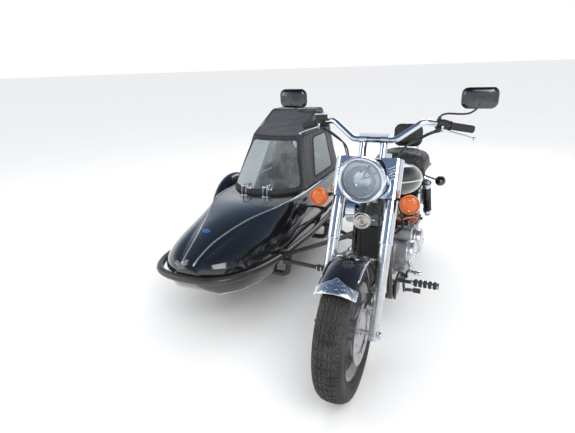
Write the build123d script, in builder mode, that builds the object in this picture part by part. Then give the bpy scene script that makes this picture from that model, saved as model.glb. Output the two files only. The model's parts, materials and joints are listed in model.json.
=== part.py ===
from build123d import *
from math import acos, atan2, cos, radians, sin
import os

# Cruiser motorcycle with a passenger sidecar on its right, standing upright on three wheels.
# Millimetres. While it is drawn, x runs from the motorcycle's centre plane to its left,
# y runs backwards from the front axle, and z runs up from the ground.
# save() then moves every piece so that the origin is the centre of the rig's footprint.
bike_x = 464.0
front_axle_y = -940.0

# Wheels and stance
front_wheel_r = 319.0
front_tyre_w = 130.0
front_rim_r = 218.0
rear_wheel_r = 315.0
rear_tyre_w = 150.0
rear_rim_r = 205.0
wheelbase = 1610.0
chair_wheel_r = 300.0
chair_tyre_w = 100.0
chair_rim_r = 215.0
chair_axle_y = 1390.0
chair_track = 1387.0
wheel_gap = 0.3

# Fork, measured in the fork's own frame: w along the steering axis from the axle,
# v square to it and backwards
rake = 27.0
fork_offset = 35.0
fork_half = 122.0
slider_r = 27.0
slider_top = 400.0
cover_r = 30.0
lower_yoke_w = 612.0
upper_yoke_w = 752.0
yoke_t = 30.0
stem_r = 16.0
head_tube_r = 31.0
head_gap = 3.0

# Headlamp, indicators and bars
lamp_y = 195.0
lamp_z = 958.0
lamp_r = 97.0
lamp_depth = 92.0
nacelle_half = 158.0
nacelle_wall = 3.0
indicator_x = 209.0
indicator_y = 228.0
indicator_z = 855.0
indicator_r = 42.0
bar_r = 14.0
grip_r = 18.0
bar_clamp_y = 430.0
bar_clamp_z = 1100.0
grip_end = (424.0, 605.0, 1134.0)
bar_shoulder = (215.0, 478.0, 1182.0)
bar_foot_x = 100.0
mirror_centre = (443.0, 489.0, 1285.0)
mirror_w = 152.0
mirror_h = 96.0

# Engine and running gear
crank_y = 705.0
crank_z = 410.0
vee_half = 26.0
case_half = 125.0
bore_r = 62.0
fin_r = 80.0
fin_t = 5.0
fin_pitch = 13.0
fin_count = 9
barrel_start = 150.0
tank_floor = 765.0
frame_tube_r = 15.0

# Sidecar
chair_x = -930.0
hull_wall = 7.0
bumper_r = 21.0
bumper_z = 335.0
bumper_bend = 262.0
cockpit_front = 1035.0
cockpit_rear = 1690.0
cockpit_half = 245.0
hood_wall = 4.0
seat_gap = 0.3

axle = Vector(0, 0, front_wheel_r)
rear_axle = Vector(0, wheelbase, rear_wheel_r)
chair_axle = Vector(-chair_track, chair_axle_y, chair_wheel_r)
steer_dir = Vector(0, sin(radians(rake)), cos(radians(rake)))
back_dir = Vector(0, cos(radians(rake)), -sin(radians(rake)))

os.makedirs("parts", exist_ok=True)


def save(part, name):
    # Moves a finished piece into the rig's frame and writes it
    placed = part.moved(Location((bike_x, front_axle_y, 0)))
    placed.label = name
    export_step(placed, f"parts/{name}.step")


def fork_point(x, v, w):
    return axle + Vector(1, 0, 0) * x + back_dir * v + steer_dir * w


def fork_plane(x, v, w):
    return Plane(origin=fork_point(x, v, w), x_dir=(1, 0, 0), z_dir=steer_dir)


def side_plane(x):
    # Local axes are y and z; extrudes towards +x
    return Plane.YZ.offset(x)


def cross_plane(y):
    # Local axes are x and z; extrudes towards -y, forwards
    return Plane.XZ.offset(-y)


def tube(points, radius, bend=40.0):
    # A round tube along straight runs with bent corners; bend is one radius or one for each corner
    with BuildPart() as made:
        with BuildLine() as path:
            if len(points) == 2:
                Line(*points)
            else:
                FilletPolyline(*points, radius=bend)
        with BuildSketch(Plane(origin=path.line @ 0, z_dir=path.line % 0)):
            Circle(radius)
        sweep(path=path.line)
    return made.part


def rod(start, end, radius, end_radius=None):
    # A straight round bar or cone between two points
    start, end = Vector(start), Vector(end)
    run = end - start
    with BuildPart() as made:
        with BuildSketch(Plane(origin=start, z_dir=run)):
            Circle(radius)
        if end_radius is None:
            extrude(amount=run.length)
        else:
            with BuildSketch(Plane(origin=end, z_dir=run)):
                Circle(end_radius)
            loft()
    return made.part


def dome_section(y, centre_x, top_half, mid_half, low_half, low_z, mid_z, edge_z, crown):
    # A closed body section square to y: flat floor, bulged sides, crowned top
    with BuildSketch(cross_plane(y)) as section:
        with BuildLine():
            floor = Line((centre_x - low_half, low_z), (centre_x + low_half, low_z))
            right = ThreePointArc(
                floor @ 1, (centre_x + mid_half, mid_z), (centre_x + top_half, edge_z)
            )
            top = ThreePointArc(
                right @ 1, (centre_x, edge_z + crown), (centre_x - top_half, edge_z)
            )
            ThreePointArc(top @ 1, (centre_x - mid_half, mid_z), floor @ 0)
        make_face()
    return section.sketch


def lofted(sections, ruled=False):
    with BuildPart() as made:
        loft(sections=[s.face() for s in sections], ruled=ruled)
    return made.part


def strap(first, first_r, second, second_r):
    # A belt shape round two circles
    run = atan2(second[1] - first[1], second[0] - first[0])
    reach = ((second[0] - first[0]) ** 2 + (second[1] - first[1]) ** 2) ** 0.5
    spread = acos((first_r - second_r) / reach)

    def rim(centre, radius, angle):
        return centre[0] + radius * cos(angle), centre[1] + radius * sin(angle)

    with BuildSketch() as belt:
        with BuildLine():
            over = Line(rim(first, first_r, run + spread), rim(second, second_r, run + spread))
            nose = ThreePointArc(over @ 1, rim(second, second_r, run), rim(second, second_r, run - spread))
            under = Line(nose @ 1, rim(first, first_r, run - spread))
            ThreePointArc(under @ 1, rim(first, -first_r, run), over @ 0)
        make_face()
    return belt.sketch


def tyre(centre, outer_r, width, rim_r):
    with BuildPart() as made:
        with BuildSketch(Plane(origin=centre, x_dir=(1, 0, 0), z_dir=(0, -1, 0))):
            with BuildLine():
                bead = Line((-0.34 * width, rim_r), (0.34 * width, rim_r))
                wall = ThreePointArc(
                    bead @ 1,
                    (0.5 * width, 0.5 * (rim_r + outer_r)),
                    (0.42 * width, outer_r - 0.2 * width),
                )
                crown = ThreePointArc(
                    wall @ 1, (0, outer_r), (-0.42 * width, outer_r - 0.2 * width)
                )
                ThreePointArc(
                    crown @ 1, (-0.5 * width, 0.5 * (rim_r + outer_r)), bead @ 0
                )
            make_face()
        revolve(axis=Axis(centre, (1, 0, 0)))
    return made.part


def rim_ring(centre, rim_r, width):
    # The rolled section that the tyre sits on
    seat_r = rim_r - wheel_gap
    lip = 0.36 * width
    with BuildPart() as made:
        with BuildSketch(Plane(origin=centre, x_dir=(1, 0, 0), z_dir=(0, -1, 0))):
            with BuildLine():
                Polyline(
                    (-lip, seat_r),
                    (-lip, seat_r - 16),
                    (-0.5 * lip, seat_r - 34),
                    (0.5 * lip, seat_r - 34),
                    (lip, seat_r - 16),
                    (lip, seat_r),
                    close=True,
                )
            make_face()
        revolve(axis=Axis(centre, (1, 0, 0)))
    return made.part


def cast_wheel(centre, rim_r, width, hub_r, hub_half, axle_r, spokes=5):
    with BuildPart() as made:
        add(rim_ring(centre, rim_r, width))
        with BuildSketch(Plane(origin=centre - Vector(hub_half, 0, 0), x_dir=(0, 1, 0), z_dir=(1, 0, 0))):
            Circle(hub_r)
        extrude(amount=2 * hub_half)
        spoke_t = 0.26 * width
        with BuildSketch(Plane(origin=centre - Vector(spoke_t / 2, 0, 0), x_dir=(0, 1, 0), z_dir=(1, 0, 0))):
            with PolarLocations(0, spokes):
                with Locations((0.5 * (hub_r + rim_r) - 12, 15), (0.5 * (hub_r + rim_r) - 12, -15)):
                    Rectangle(rim_r - hub_r, 18)
        extrude(amount=spoke_t)
        with BuildSketch(Plane(origin=centre - Vector(hub_half, 0, 0), x_dir=(0, 1, 0), z_dir=(1, 0, 0))):
            Circle(axle_r + 0.05)
        extrude(amount=2 * hub_half, mode=Mode.SUBTRACT)
    return made.part


def brake_disc(centre, x, outer_r, inner_r, thickness=5.0):
    with BuildPart() as made:
        with BuildSketch(Plane(origin=centre + Vector(x, 0, 0), x_dir=(0, 1, 0), z_dir=(1, 0, 0))):
            Circle(outer_r)
            Circle(inner_r, mode=Mode.SUBTRACT)
            with PolarLocations(0.72 * outer_r, 12):
                Circle(7, mode=Mode.SUBTRACT)
        extrude(amount=thickness)
    return made.part


def mudguard(centre, inner_r, half, wall, from_deg, to_deg, skirt):
    # A crowned guard round a wheel, swept from one angle to another, 0 at the top
    # and positive towards the rear
    with BuildPart() as made:
        with BuildSketch(Plane(origin=centre, x_dir=(1, 0, 0), z_dir=(0, -1, 0))):
            with BuildLine():
                outer = ThreePointArc(
                    (-half, inner_r - skirt), (0, inner_r + wall), (half, inner_r - skirt)
                )
                Line(outer @ 1, (half - wall, inner_r - skirt))
                ThreePointArc(
                    (half - wall, inner_r - skirt), (0, inner_r), (wall - half, inner_r - skirt)
                )
                Line((wall - half, inner_r - skirt), outer @ 0)
            make_face()
        revolve(axis=Axis(centre, (-1, 0, 0)), revolution_arc=to_deg - from_deg)
    return made.part.rotate(Axis(centre, (-1, 0, 0)), from_deg)


# Front wheel
front_axle_r = 10.0
save(tyre(axle, front_wheel_r, front_tyre_w, front_rim_r), "front_tyre")
save(cast_wheel(axle, front_rim_r, front_tyre_w, 48.0, 62.0, front_axle_r), "front_rim")
front_disc_x = 66.0
with BuildPart() as front_disc:
    add(brake_disc(axle, front_disc_x, 148.0, 95.0))
    with BuildSketch(Plane(origin=axle + Vector(62.3, 0, 0), x_dir=(0, 1, 0), z_dir=(1, 0, 0))):
        Circle(100)
        Circle(front_axle_r + 6, mode=Mode.SUBTRACT)
    extrude(amount=4)
save(front_disc.part, "front_disc")

# Rear wheel
rear_axle_r = 11.0
save(tyre(rear_axle, rear_wheel_r, rear_tyre_w, rear_rim_r), "rear_tyre")
save(cast_wheel(rear_axle, rear_rim_r, rear_tyre_w, 60.0, 78.0, rear_axle_r), "rear_rim")

# Sidecar wheel: wire spokes between a steel rim and a narrow hub
chair_hub_half = 42.0
chair_axle_r = 9.0
with BuildPart() as chair_rim:
    add(rim_ring(chair_axle, chair_rim_r, chair_tyre_w))
    with BuildSketch(Plane(origin=chair_axle - Vector(chair_hub_half, 0, 0), x_dir=(0, 1, 0), z_dir=(1, 0, 0))):
        Circle(52)
    extrude(amount=2 * chair_hub_half)
    for side in (-1, 1):
        for turn in range(12):
            a = radians(turn * 30 + 7.5 * side)
            lean = radians(22 * (1 if turn % 2 else -1))
            near = chair_axle + Vector(side * 34, 44 * cos(a + lean), 44 * sin(a + lean))
            far_r = chair_rim_r - 28
            far = chair_axle + Vector(side * 4, far_r * cos(a), far_r * sin(a))
            add(rod(near, far, 2.4))
    with BuildSketch(Plane(origin=chair_axle - Vector(chair_hub_half, 0, 0), x_dir=(0, 1, 0), z_dir=(1, 0, 0))):
        Circle(chair_axle_r + 0.05)
    extrude(amount=2 * chair_hub_half, mode=Mode.SUBTRACT)
save(chair_rim.part, "chair_rim")
save(tyre(chair_axle, chair_wheel_r, chair_tyre_w, chair_rim_r), "chair_tyre")

# Fork legs: sliders with axle lugs, the axle, chromed covers above
with BuildPart() as fork_sliders:
    for side in (-1, 1):
        with BuildSketch(fork_plane(side * fork_half, 0, -28)):
            Circle(slider_r - 4)
        extrude(amount=179)
        with BuildSketch(fork_plane(side * fork_half, 0, 150)):
            Circle(slider_r)
        extrude(amount=slider_top - 150)
        # lug that carries the fender's stay
        add(rod(fork_point(side * fork_half, 4, 185), fork_point(side * 88, 4, 185), 11))
    add(rod(axle - Vector(fork_half + 22, 0, 0), axle + Vector(fork_half + 22, 0, 0), front_axle_r))
save(fork_sliders.part, "fork_sliders")

with BuildPart() as fork_covers:
    for side in (-1, 1):
        with BuildSketch(fork_plane(side * fork_half, 0, slider_top + 0.3)):
            Circle(cover_r)
        extrude(amount=lower_yoke_w - slider_top - 0.6)
        with BuildSketch(fork_plane(side * fork_half, 0, lower_yoke_w + yoke_t + 0.3)):
            Circle(cover_r - 2)
        extrude(amount=upper_yoke_w - lower_yoke_w - yoke_t - 0.6)
save(fork_covers.part, "fork_covers")

with BuildPart() as yokes:
    for level in (lower_yoke_w, upper_yoke_w):
        with BuildSketch(fork_plane(0, 0, level)):
            with Locations((-fork_half, 0), (fork_half, 0)):
                Circle(nacelle_half - nacelle_wall - fork_half - wheel_gap)
            Rectangle(2 * fork_half, 44)
            with Locations((0, fork_offset)):
                Circle(34)
                Rectangle(96, 44)
        extrude(amount=yoke_t)
    with BuildSketch(fork_plane(0, fork_offset, lower_yoke_w)):
        Circle(stem_r)
    extrude(amount=upper_yoke_w - lower_yoke_w)
save(yokes.part, "yokes")

# Headlamp nacelle: a folded chrome cover round the fork with three louvre ribs each side
nacelle_front = -44.0
nacelle_back = 34.0
nacelle_low = lower_yoke_w - 14.0
nacelle_high = upper_yoke_w + yoke_t + 3.0


def nacelle_band(offset_in):
    half = nacelle_half - offset_in
    front = nacelle_front + offset_in
    corner = 34.0 - offset_in
    with BuildSketch(fork_plane(0, 0, nacelle_low)) as band:
        with Locations((0, (front + nacelle_back) / 2)):
            RectangleRounded(2 * half, nacelle_back - front, corner)
    return band.sketch


with BuildPart() as nacelle:
    extrude(nacelle_band(0), amount=nacelle_high - nacelle_low)
    extrude(nacelle_band(nacelle_wall), amount=nacelle_high - nacelle_low, mode=Mode.SUBTRACT)
    with BuildSketch(fork_plane(0, nacelle_back - 6, nacelle_low)):
        Rectangle(2 * nacelle_half, 60)
    extrude(amount=nacelle_high - nacelle_low, mode=Mode.SUBTRACT)
    with BuildSketch(Plane(origin=(0, lamp_y - 40, lamp_z), x_dir=(1, 0, 0), z_dir=(0, 1, 0))):
        Circle(lamp_r - 2)
    extrude(amount=200, mode=Mode.SUBTRACT)
    for side in (-1, 1):
        for step in range(3):
            rise = upper_yoke_w - 30.0 - 15.0 * step
            add(rod(fork_point(side * 112, nacelle_front, rise - 6),
                    fork_point(side * 136, nacelle_front, rise + 5), 3.2))
save(nacelle.part, "nacelle")

# Headlamp: bowl with a chrome rim, and its glass
with BuildPart() as headlamp:
    with BuildSketch(Plane(origin=(0, lamp_y, lamp_z), x_dir=(1, 0, 0), z_dir=(0, -1, 0))) as rim:
        Circle(lamp_r + 4)
        Circle(lamp_r - 9, mode=Mode.SUBTRACT)
    extrude(amount=-22)
    with BuildSketch(Plane(origin=(0, lamp_y, lamp_z), x_dir=(0, 1, 0), z_dir=(1, 0, 0))):
        with BuildLine():
            mouth = Line((22, lamp_r - 9), (22, lamp_r - 1))
            bowl = ThreePointArc(mouth @ 1, (50, lamp_r - 22), (lamp_depth - 14, 50))
            back = Line(bowl @ 1, (lamp_depth - 14, 0))
            inner = Line(back @ 1, (lamp_depth - 18, 0))
            hollow = ThreePointArc((lamp_depth - 18, 0), (48, lamp_r - 30), mouth @ 0)
        make_face()
    revolve(axis=Axis((0, lamp_y, lamp_z), (0, 1, 0)))
    add(rod((0, lamp_y + 64, lamp_z - 30), fork_point(0, -6, lower_yoke_w + yoke_t + wheel_gap), 13))
    add(yokes.part, mode=Mode.SUBTRACT)
save(headlamp.part, "headlamp")

glass_r = lamp_r - 9.3
glass_rise = 14.0
glass_ball = (glass_r**2 + glass_rise**2) / (2 * glass_rise)
with BuildPart() as headlamp_glass:
    with Locations((0, lamp_y + 2 - glass_rise + glass_ball, lamp_z)):
        Sphere(glass_ball)
        Sphere(glass_ball - 4, mode=Mode.SUBTRACT)
    with BuildSketch(Plane(origin=(0, lamp_y + 6, lamp_z), x_dir=(1, 0, 0), z_dir=(0, -1, 0))):
        Circle(glass_r)
    extrude(amount=24, mode=Mode.INTERSECT)
save(headlamp_glass.part, "headlamp_glass")


def lamp_pod(centre, radius, depth, facing):
    # A turned lamp housing, open at its face; facing is -1 for forwards and 1 for backwards
    with BuildPart() as made:
        with BuildSketch(Plane(origin=centre, x_dir=(0, 1, 0), z_dir=(1, 0, 0))):
            with BuildLine():
                edge = Line((0, 0), (0, radius))
                shell = ThreePointArc(
                    edge @ 1, (-facing * 0.62 * depth, 0.82 * radius), (-facing * depth, 0)
                )
                Line(shell @ 1, (0, 0))
            make_face()
        revolve(axis=Axis(centre, (0, 1, 0)))
    return made.part


def lamp_lens(centre, radius, height, facing):
    # A spherical cap just off the pod's face
    ball_r = (radius**2 + height**2) / (2 * height)
    face = centre + Vector(0, facing * wheel_gap, 0)
    with BuildPart() as made:
        with Locations(face + Vector(0, facing * (height - ball_r), 0)):
            Sphere(ball_r)
        with BuildSketch(Plane(origin=face, x_dir=(1, 0, 0), z_dir=(0, facing, 0))):
            Circle(radius)
        extrude(amount=height + 1, mode=Mode.INTERSECT)
    return made.part


with BuildPart() as front_indicators:
    for side in (-1, 1):
        pod = Vector(side * indicator_x, indicator_y, indicator_z)
        add(lamp_pod(pod, indicator_r, 46, -1))
        add(rod(pod + Vector(-side * 24, 22, 4), Vector(side * (nacelle_half - 10), indicator_y + 32, indicator_z + 12), 9))
    with Locations((0, indicator_y, indicator_z)):
        Box(2 * (nacelle_half + wheel_gap), 200, 200, mode=Mode.SUBTRACT)
save(front_indicators.part, "front_indicators")
with BuildPart() as front_lenses:
    for side in (-1, 1):
        add(lamp_lens(Vector(side * indicator_x, indicator_y, indicator_z), indicator_r - 2, 16, -1))
save(front_lenses.part, "front_lenses")

# Handlebar with risers and clamp cover
bar_line = [grip_end, bar_shoulder, (bar_foot_x, bar_clamp_y, bar_clamp_z)]
bar_points = bar_line + [(-x, y, z) for x, y, z in reversed(bar_line)]
riser_half = 50.0
riser_foot = fork_point(0, 30, upper_yoke_w + yoke_t + 0.3)
with BuildPart() as handlebar:
    add(tube(bar_points, bar_r, 55.0))
    for side in (-1, 1):
        add(rod((side * riser_half, riser_foot.Y, riser_foot.Z), (side * riser_half, bar_clamp_y, bar_clamp_z), 17))
        add(rod((side * riser_half - 17, bar_clamp_y, bar_clamp_z), (side * riser_half + 17, bar_clamp_y, bar_clamp_z), 25))
    with BuildSketch(Plane(origin=(0, bar_clamp_y, bar_clamp_z + bar_r + 4), x_dir=(1, 0, 0), z_dir=(0, 0, 1))):
        RectangleRounded(2 * riser_half + 36, 42, 8)
    extrude(amount=12)
save(handlebar.part, "handlebar")

grip_dir = (Vector(*grip_end) - Vector(*bar_shoulder)).normalized()


def on_bar(side, back, out=0.0, up=0.0):
    # A point on the outer bar, so far back from the grip's end
    p = Vector(*grip_end) - grip_dir * back + Vector(0, -1, 0) * out + Vector(0, 0, 1) * up
    return Vector(side * p.X, p.Y, p.Z)


with BuildPart() as grips:
    for side in (-1, 1):
        with BuildSketch(Plane(origin=on_bar(side, -4), z_dir=on_bar(side, 120) - on_bar(side, -4))):
            Circle(grip_r)
        extrude(amount=124)
        with BuildSketch(Plane(origin=on_bar(side, 0), z_dir=on_bar(side, 120) - on_bar(side, 0))):
            Circle(bar_r + 0.2)
        extrude(amount=130, mode=Mode.SUBTRACT)
save(grips.part, "grips")

with BuildPart() as hand_controls:
    for side in (-1, 1):
        with BuildSketch(Plane(origin=on_bar(side, 124), z_dir=on_bar(side, 190) - on_bar(side, 124))):
            Circle(25)
            Circle(bar_r + 0.2, mode=Mode.SUBTRACT)
        extrude(amount=58)
        pivot = on_bar(side, 150, 42, -14)
        add(rod(on_bar(side, 150, 18, -4), pivot, 12))
        add(rod(pivot, on_bar(side, 60, 52, -22), 8, 6.5))
        add(rod(on_bar(side, 60, 52, -22), on_bar(side, -12, 44, -34), 6.5))
        with Locations(on_bar(side, -14, 44, -34)):
            Sphere(9)
    # brake fluid reservoir on the right
    with BuildSketch(Plane(origin=on_bar(-1, 158, 22, 14), x_dir=(1, 0.35, 0), z_dir=(0, 0, 1))):
        RectangleRounded(62, 46, 8)
    extrude(amount=34)
    add(handlebar.part, mode=Mode.SUBTRACT)
save(hand_controls.part, "hand_controls")

with BuildPart() as mirrors:
    for side in (-1, 1):
        head = Vector(side * mirror_centre[0], mirror_centre[1], mirror_centre[2])
        add(tube([on_bar(side, 172, 0, 20), on_bar(side, 168, 4, 48), head + Vector(-side * 8, 14, -50), head + Vector(0, 8, -20)], 5, 12.0))
        with BuildSketch(Plane(origin=head + Vector(0, 16, 0), x_dir=(side * 1, 0.12, 0), z_dir=(side * 0.12, -1, 0))):
            RectangleRounded(mirror_w, mirror_h, 26)
        with BuildSketch(Plane(origin=head + Vector(0, -22, 0), x_dir=(side * 1, 0.12, 0), z_dir=(side * 0.12, -1, 0))):
            RectangleRounded(mirror_w * 0.5, mirror_h * 0.45, 18)
        loft()
    add(hand_controls.part, mode=Mode.SUBTRACT)
save(mirrors.part, "mirrors")

# Front mudguard with its chrome tip and stays
front_guard_r = 352.0
front_guard_half = 82.0
guard_wall = 4.0
front_guard_from = -36.0
with BuildPart() as front_fender:
    add(mudguard(axle, front_guard_r, front_guard_half, guard_wall, front_guard_from, 98.0, 34.0))
    for side in (-1, 1):
        knot = fork_point(side * (front_guard_half + 1), 4, 185)
        for fan in (-28, 28):
            reach = front_guard_r - 30
            foot = fork_point(side * (front_guard_half - 2), reach * sin(radians(fan)), reach * cos(radians(fan)))
            add(rod(knot, foot, 5))
        add(rod(knot - Vector(side * 4, 0, 0), Vector(side * 87.7, knot.Y, knot.Z), 9))
save(front_fender.part, "front_fender")
with BuildPart() as fender_tip:
    add(mudguard(axle, front_guard_r + guard_wall + 0.3, front_guard_half + guard_wall + 0.6, 3.0, front_guard_from - 1, front_guard_from + 9, 33.0))
save(fender_tip.part, "fender_tip")

# Brake caliper on the left slider
with BuildPart() as front_caliper:
    with BuildSketch(Plane(origin=(front_disc_x - 16, 0, front_wheel_r), x_dir=(0, 1, 0), z_dir=(1, 0, 0))):
        with Locations((118, 70)):
            Rectangle(64, 96, rotation=30)
    extrude(amount=36)
    with BuildSketch(Plane(origin=(front_disc_x - 3, 0, front_wheel_r), x_dir=(0, 1, 0), z_dir=(1, 0, 0))):
        Circle(152)
    extrude(amount=11, mode=Mode.SUBTRACT)
    # bracket bolted to the slider
    lug = fork_point(0, 0, 116)
    with BuildSketch(Plane(origin=(front_disc_x + 11, 0, 0), x_dir=(0, 1, 0), z_dir=(1, 0, 0))):
        add(strap((118, front_wheel_r + 70), 22, (lug.Y, lug.Z), 16))
    extrude(amount=fork_half - front_disc_x - 11)
    add(fork_sliders.part, mode=Mode.SUBTRACT)
save(front_caliper.part, "front_caliper")

# Horn under the lower yoke
horn_w = 500.0
with BuildPart() as horn:
    horn_centre = fork_point(0, fork_offset - 24, horn_w)
    with BuildSketch(Plane(origin=horn_centre, x_dir=(1, 0, 0), z_dir=(0, -1, 0))):
        Circle(42)
    extrude(amount=14)
    with BuildSketch(Plane(origin=horn_centre, x_dir=(1, 0, 0), z_dir=(0, 1, 0))):
        Circle(30)
    extrude(amount=22)
    add(rod(horn_centre + Vector(0, 12, 24), fork_point(0, fork_offset, lower_yoke_w - 0.3), 8))
    add(yokes.part, mode=Mode.SUBTRACT)
save(horn.part, "horn")

# Main frame: head tube, backbone, twin cradle, rear rails
cradle_x = 108.0
cradle_z = 252.0
head_low = fork_point(0, fork_offset, lower_yoke_w + yoke_t + head_gap)
head_high = fork_point(0, fork_offset, upper_yoke_w - head_gap)
backbone_r = 24.0
backbone = [
    fork_point(0, fork_offset, 0.5 * (lower_yoke_w + upper_yoke_w + yoke_t)),
    (0, 560, 806),
    (0, 1010, 752),
]
with BuildPart() as frame:
    add(tube(backbone, backbone_r, 90.0))
    add(rod(head_low, head_high, head_tube_r))
    for side in (-1, 1):
        loop = [
            (side * 22, 440, 868),
            (side * 84, 446, 640),
            (side * cradle_x, 440, cradle_z),
            (side * cradle_x, 1080, cradle_z),
            (side * cradle_x, 1140, 540),
            (side * 118, 1100, 700),
            (side * 118, 1560, 705),
        ]
        add(tube(loop, frame_tube_r, 40.0))
        add(rod((side * 118, 1120, 702), (0, 1000, 752), 13))
    add(rod((-cradle_x, 1095, 340), (cradle_x, 1095, 340), 22))
    add(rod((-cradle_x, 470, cradle_z), (cradle_x, 470, cradle_z), 13))
    add(rod((-118, 1290, 703), (118, 1290, 703), 12))
    add(rod((0, 440, 868), (0, 470, 850), 22))
    with BuildSketch(fork_plane(0, fork_offset, lower_yoke_w)):
        Circle(stem_r + 0.05)
    extrude(amount=upper_yoke_w - lower_yoke_w, mode=Mode.SUBTRACT)
save(frame.part, "frame")

with BuildPart() as radiator:
    with Locations((0, 412, 520)):
        Box(126, 28, 290)
    for side in (-1, 1):
        with Locations((side * 56, 412, 520)):
            Box(16, 34, 300)
        for level in (430, 540):
            add(rod((side * 58, 416, level), (side * 88, 436, level), 7))
    add(frame.part, mode=Mode.SUBTRACT)
save(radiator.part, "radiator")

# Engine: cases, covers and two finned cylinders
crank = Vector(0, crank_y, crank_z)
clutch_y = crank_y + 225.0
lug_reach = cradle_x - frame_tube_r - seat_gap
with BuildPart() as engine_cases:
    with BuildSketch(side_plane(-92)):
        add(strap((crank_y, crank_z), 128, (clutch_y + 60, crank_z - 5), 92))
    extrude(amount=184)
    with BuildSketch(side_plane(80)):
        add(strap((crank_y, crank_z), 108, (clutch_y, crank_z), 96))
    extrude(amount=70)
    with BuildSketch(side_plane(140)):
        with Locations((crank_y, crank_z)):
            Circle(84)
    extrude(amount=44)
    with BuildSketch(side_plane(140)):
        with Locations((clutch_y, crank_z)):
            Circle(74)
    extrude(amount=54)
    with BuildSketch(side_plane(-150)):
        add(strap((crank_y, crank_z), 96, (crank_y, crank_z + 74), 42))
    extrude(amount=70)
    with BuildSketch(side_plane(-134)):
        with Locations((clutch_y + 20, crank_z)):
            Circle(70)
    extrude(amount=60)
    # starter motor lying across the front of the cases
    add(rod((40, crank_y - 52, crank_z + 140), (172, crank_y - 52, crank_z + 140), 34))
    # mounting lugs between the lower frame tubes
    for back in (crank_y - 60, clutch_y + 80):
        add(rod((-lug_reach, back, cradle_z), (lug_reach, back, cradle_z), 13))
        with Locations((0, back, 0.5 * (cradle_z + crank_z - 80))):
            Box(120, 22, crank_z - 80 - cradle_z)
    # oil filter at the front, low down
    add(rod((0, crank_y - 120, crank_z - 40), (0, crank_y - 178, crank_z - 50), 38))
save(engine_cases.part, "engine_cases")

with BuildPart() as cylinders:
    for lean in (-vee_half, vee_half):
        up = Vector(0, sin(radians(lean)), cos(radians(lean)))
        with BuildSketch(Plane(origin=crank + up * 118, x_dir=(1, 0, 0), z_dir=up)):
            Circle(bore_r)
        extrude(amount=barrel_start + fin_count * fin_pitch - 118 + 8)
        for fin in range(fin_count):
            with BuildSketch(Plane(origin=crank + up * (barrel_start + fin * fin_pitch), x_dir=(1, 0, 0), z_dir=up)):
                RectangleRounded(2 * fin_r, 1.62 * fin_r, 0.5 * fin_r)
            extrude(amount=fin_t)
        head_at = barrel_start + fin_count * fin_pitch
        with BuildSketch(Plane(origin=crank + up * head_at, x_dir=(1, 0, 0), z_dir=up)):
            RectangleRounded(1.9 * fin_r, 1.5 * fin_r, 22)
        extrude(amount=34)
        with BuildSketch(Plane(origin=crank + up * (head_at + 34), x_dir=(1, 0, 0), z_dir=up)):
            RectangleRounded(1.62 * fin_r, 1.2 * fin_r, 20)
        extrude(amount=26)
    add(engine_cases.part, mode=Mode.SUBTRACT)
save(cylinders.part, "cylinders")

intake_r = 13.0
with BuildPart() as air_cleaner:
    with BuildSketch(side_plane(-196)):
        with Locations((crank_y, crank_z + 238)):
            Circle(78)
    extrude(amount=52)
    add(rod((-150, crank_y, crank_z + 238), (26, crank_y, crank_z + 238), 26))
    # carburettor above the intake, and its manifold to both heads
    for lean in (-vee_half, vee_half):
        up = Vector(0, sin(radians(lean)), cos(radians(lean)))
        inward = Vector(0, -up.Z, up.Y) if lean > 0 else Vector(0, up.Z, -up.Y)
        port = crank + up * (barrel_start + fin_count * fin_pitch + 17) + inward * (0.75 * fin_r - 4)
        add(rod((0, crank_y, port.Z), port, intake_r))
    add(rod((0, crank_y, crank_z + 238), (0, crank_y, port.Z + intake_r), intake_r + 5))
    add(cylinders.part, mode=Mode.SUBTRACT)
save(air_cleaner.part, "air_cleaner")

with BuildPart() as ignition_coils:
    for back in (-1, 1):
        with Locations((120, crank_y + 24 * back, crank_z + 196)):
            Cylinder(17, 58, rotation=(0, 90, 0))
    with Locations((88, crank_y, crank_z + 196)):
        Box(12, 90, 44)
    add(rod((86, crank_y, crank_z + 196), (26.3, crank_y, crank_z + 196), 10))
    add(cylinders.part, mode=Mode.SUBTRACT)
save(ignition_coils.part, "ignition_coils")

muffler_x = 235.0
with BuildPart() as exhaust:
    add(tube([(-40, 486, 566), (-132, 494, 470), (-172, 625, 340), (-190, 900, 322), (-muffler_x, 1190, 322)], 19, 60.0))
    add(tube([(-60, 905, 640), (-150, 960, 570), (-200, 1060, 420), (-muffler_x, 1230, 322)], 19, 60.0))
    with BuildSketch(cross_plane(1790)):
        with Locations((-muffler_x, 322)):
            Circle(41)
    extrude(amount=610)
    add(rod((-muffler_x, 1790, 322), (-muffler_x, 1830, 322), 38, 22))
    add(rod((-muffler_x + 20, 1300, 345), (-125, 1292, 690), 7))
    add(frame.part, mode=Mode.SUBTRACT)
    add(cylinders.part, mode=Mode.SUBTRACT)
    add(engine_cases.part, mode=Mode.SUBTRACT)
save(exhaust.part, "exhaust")

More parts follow.
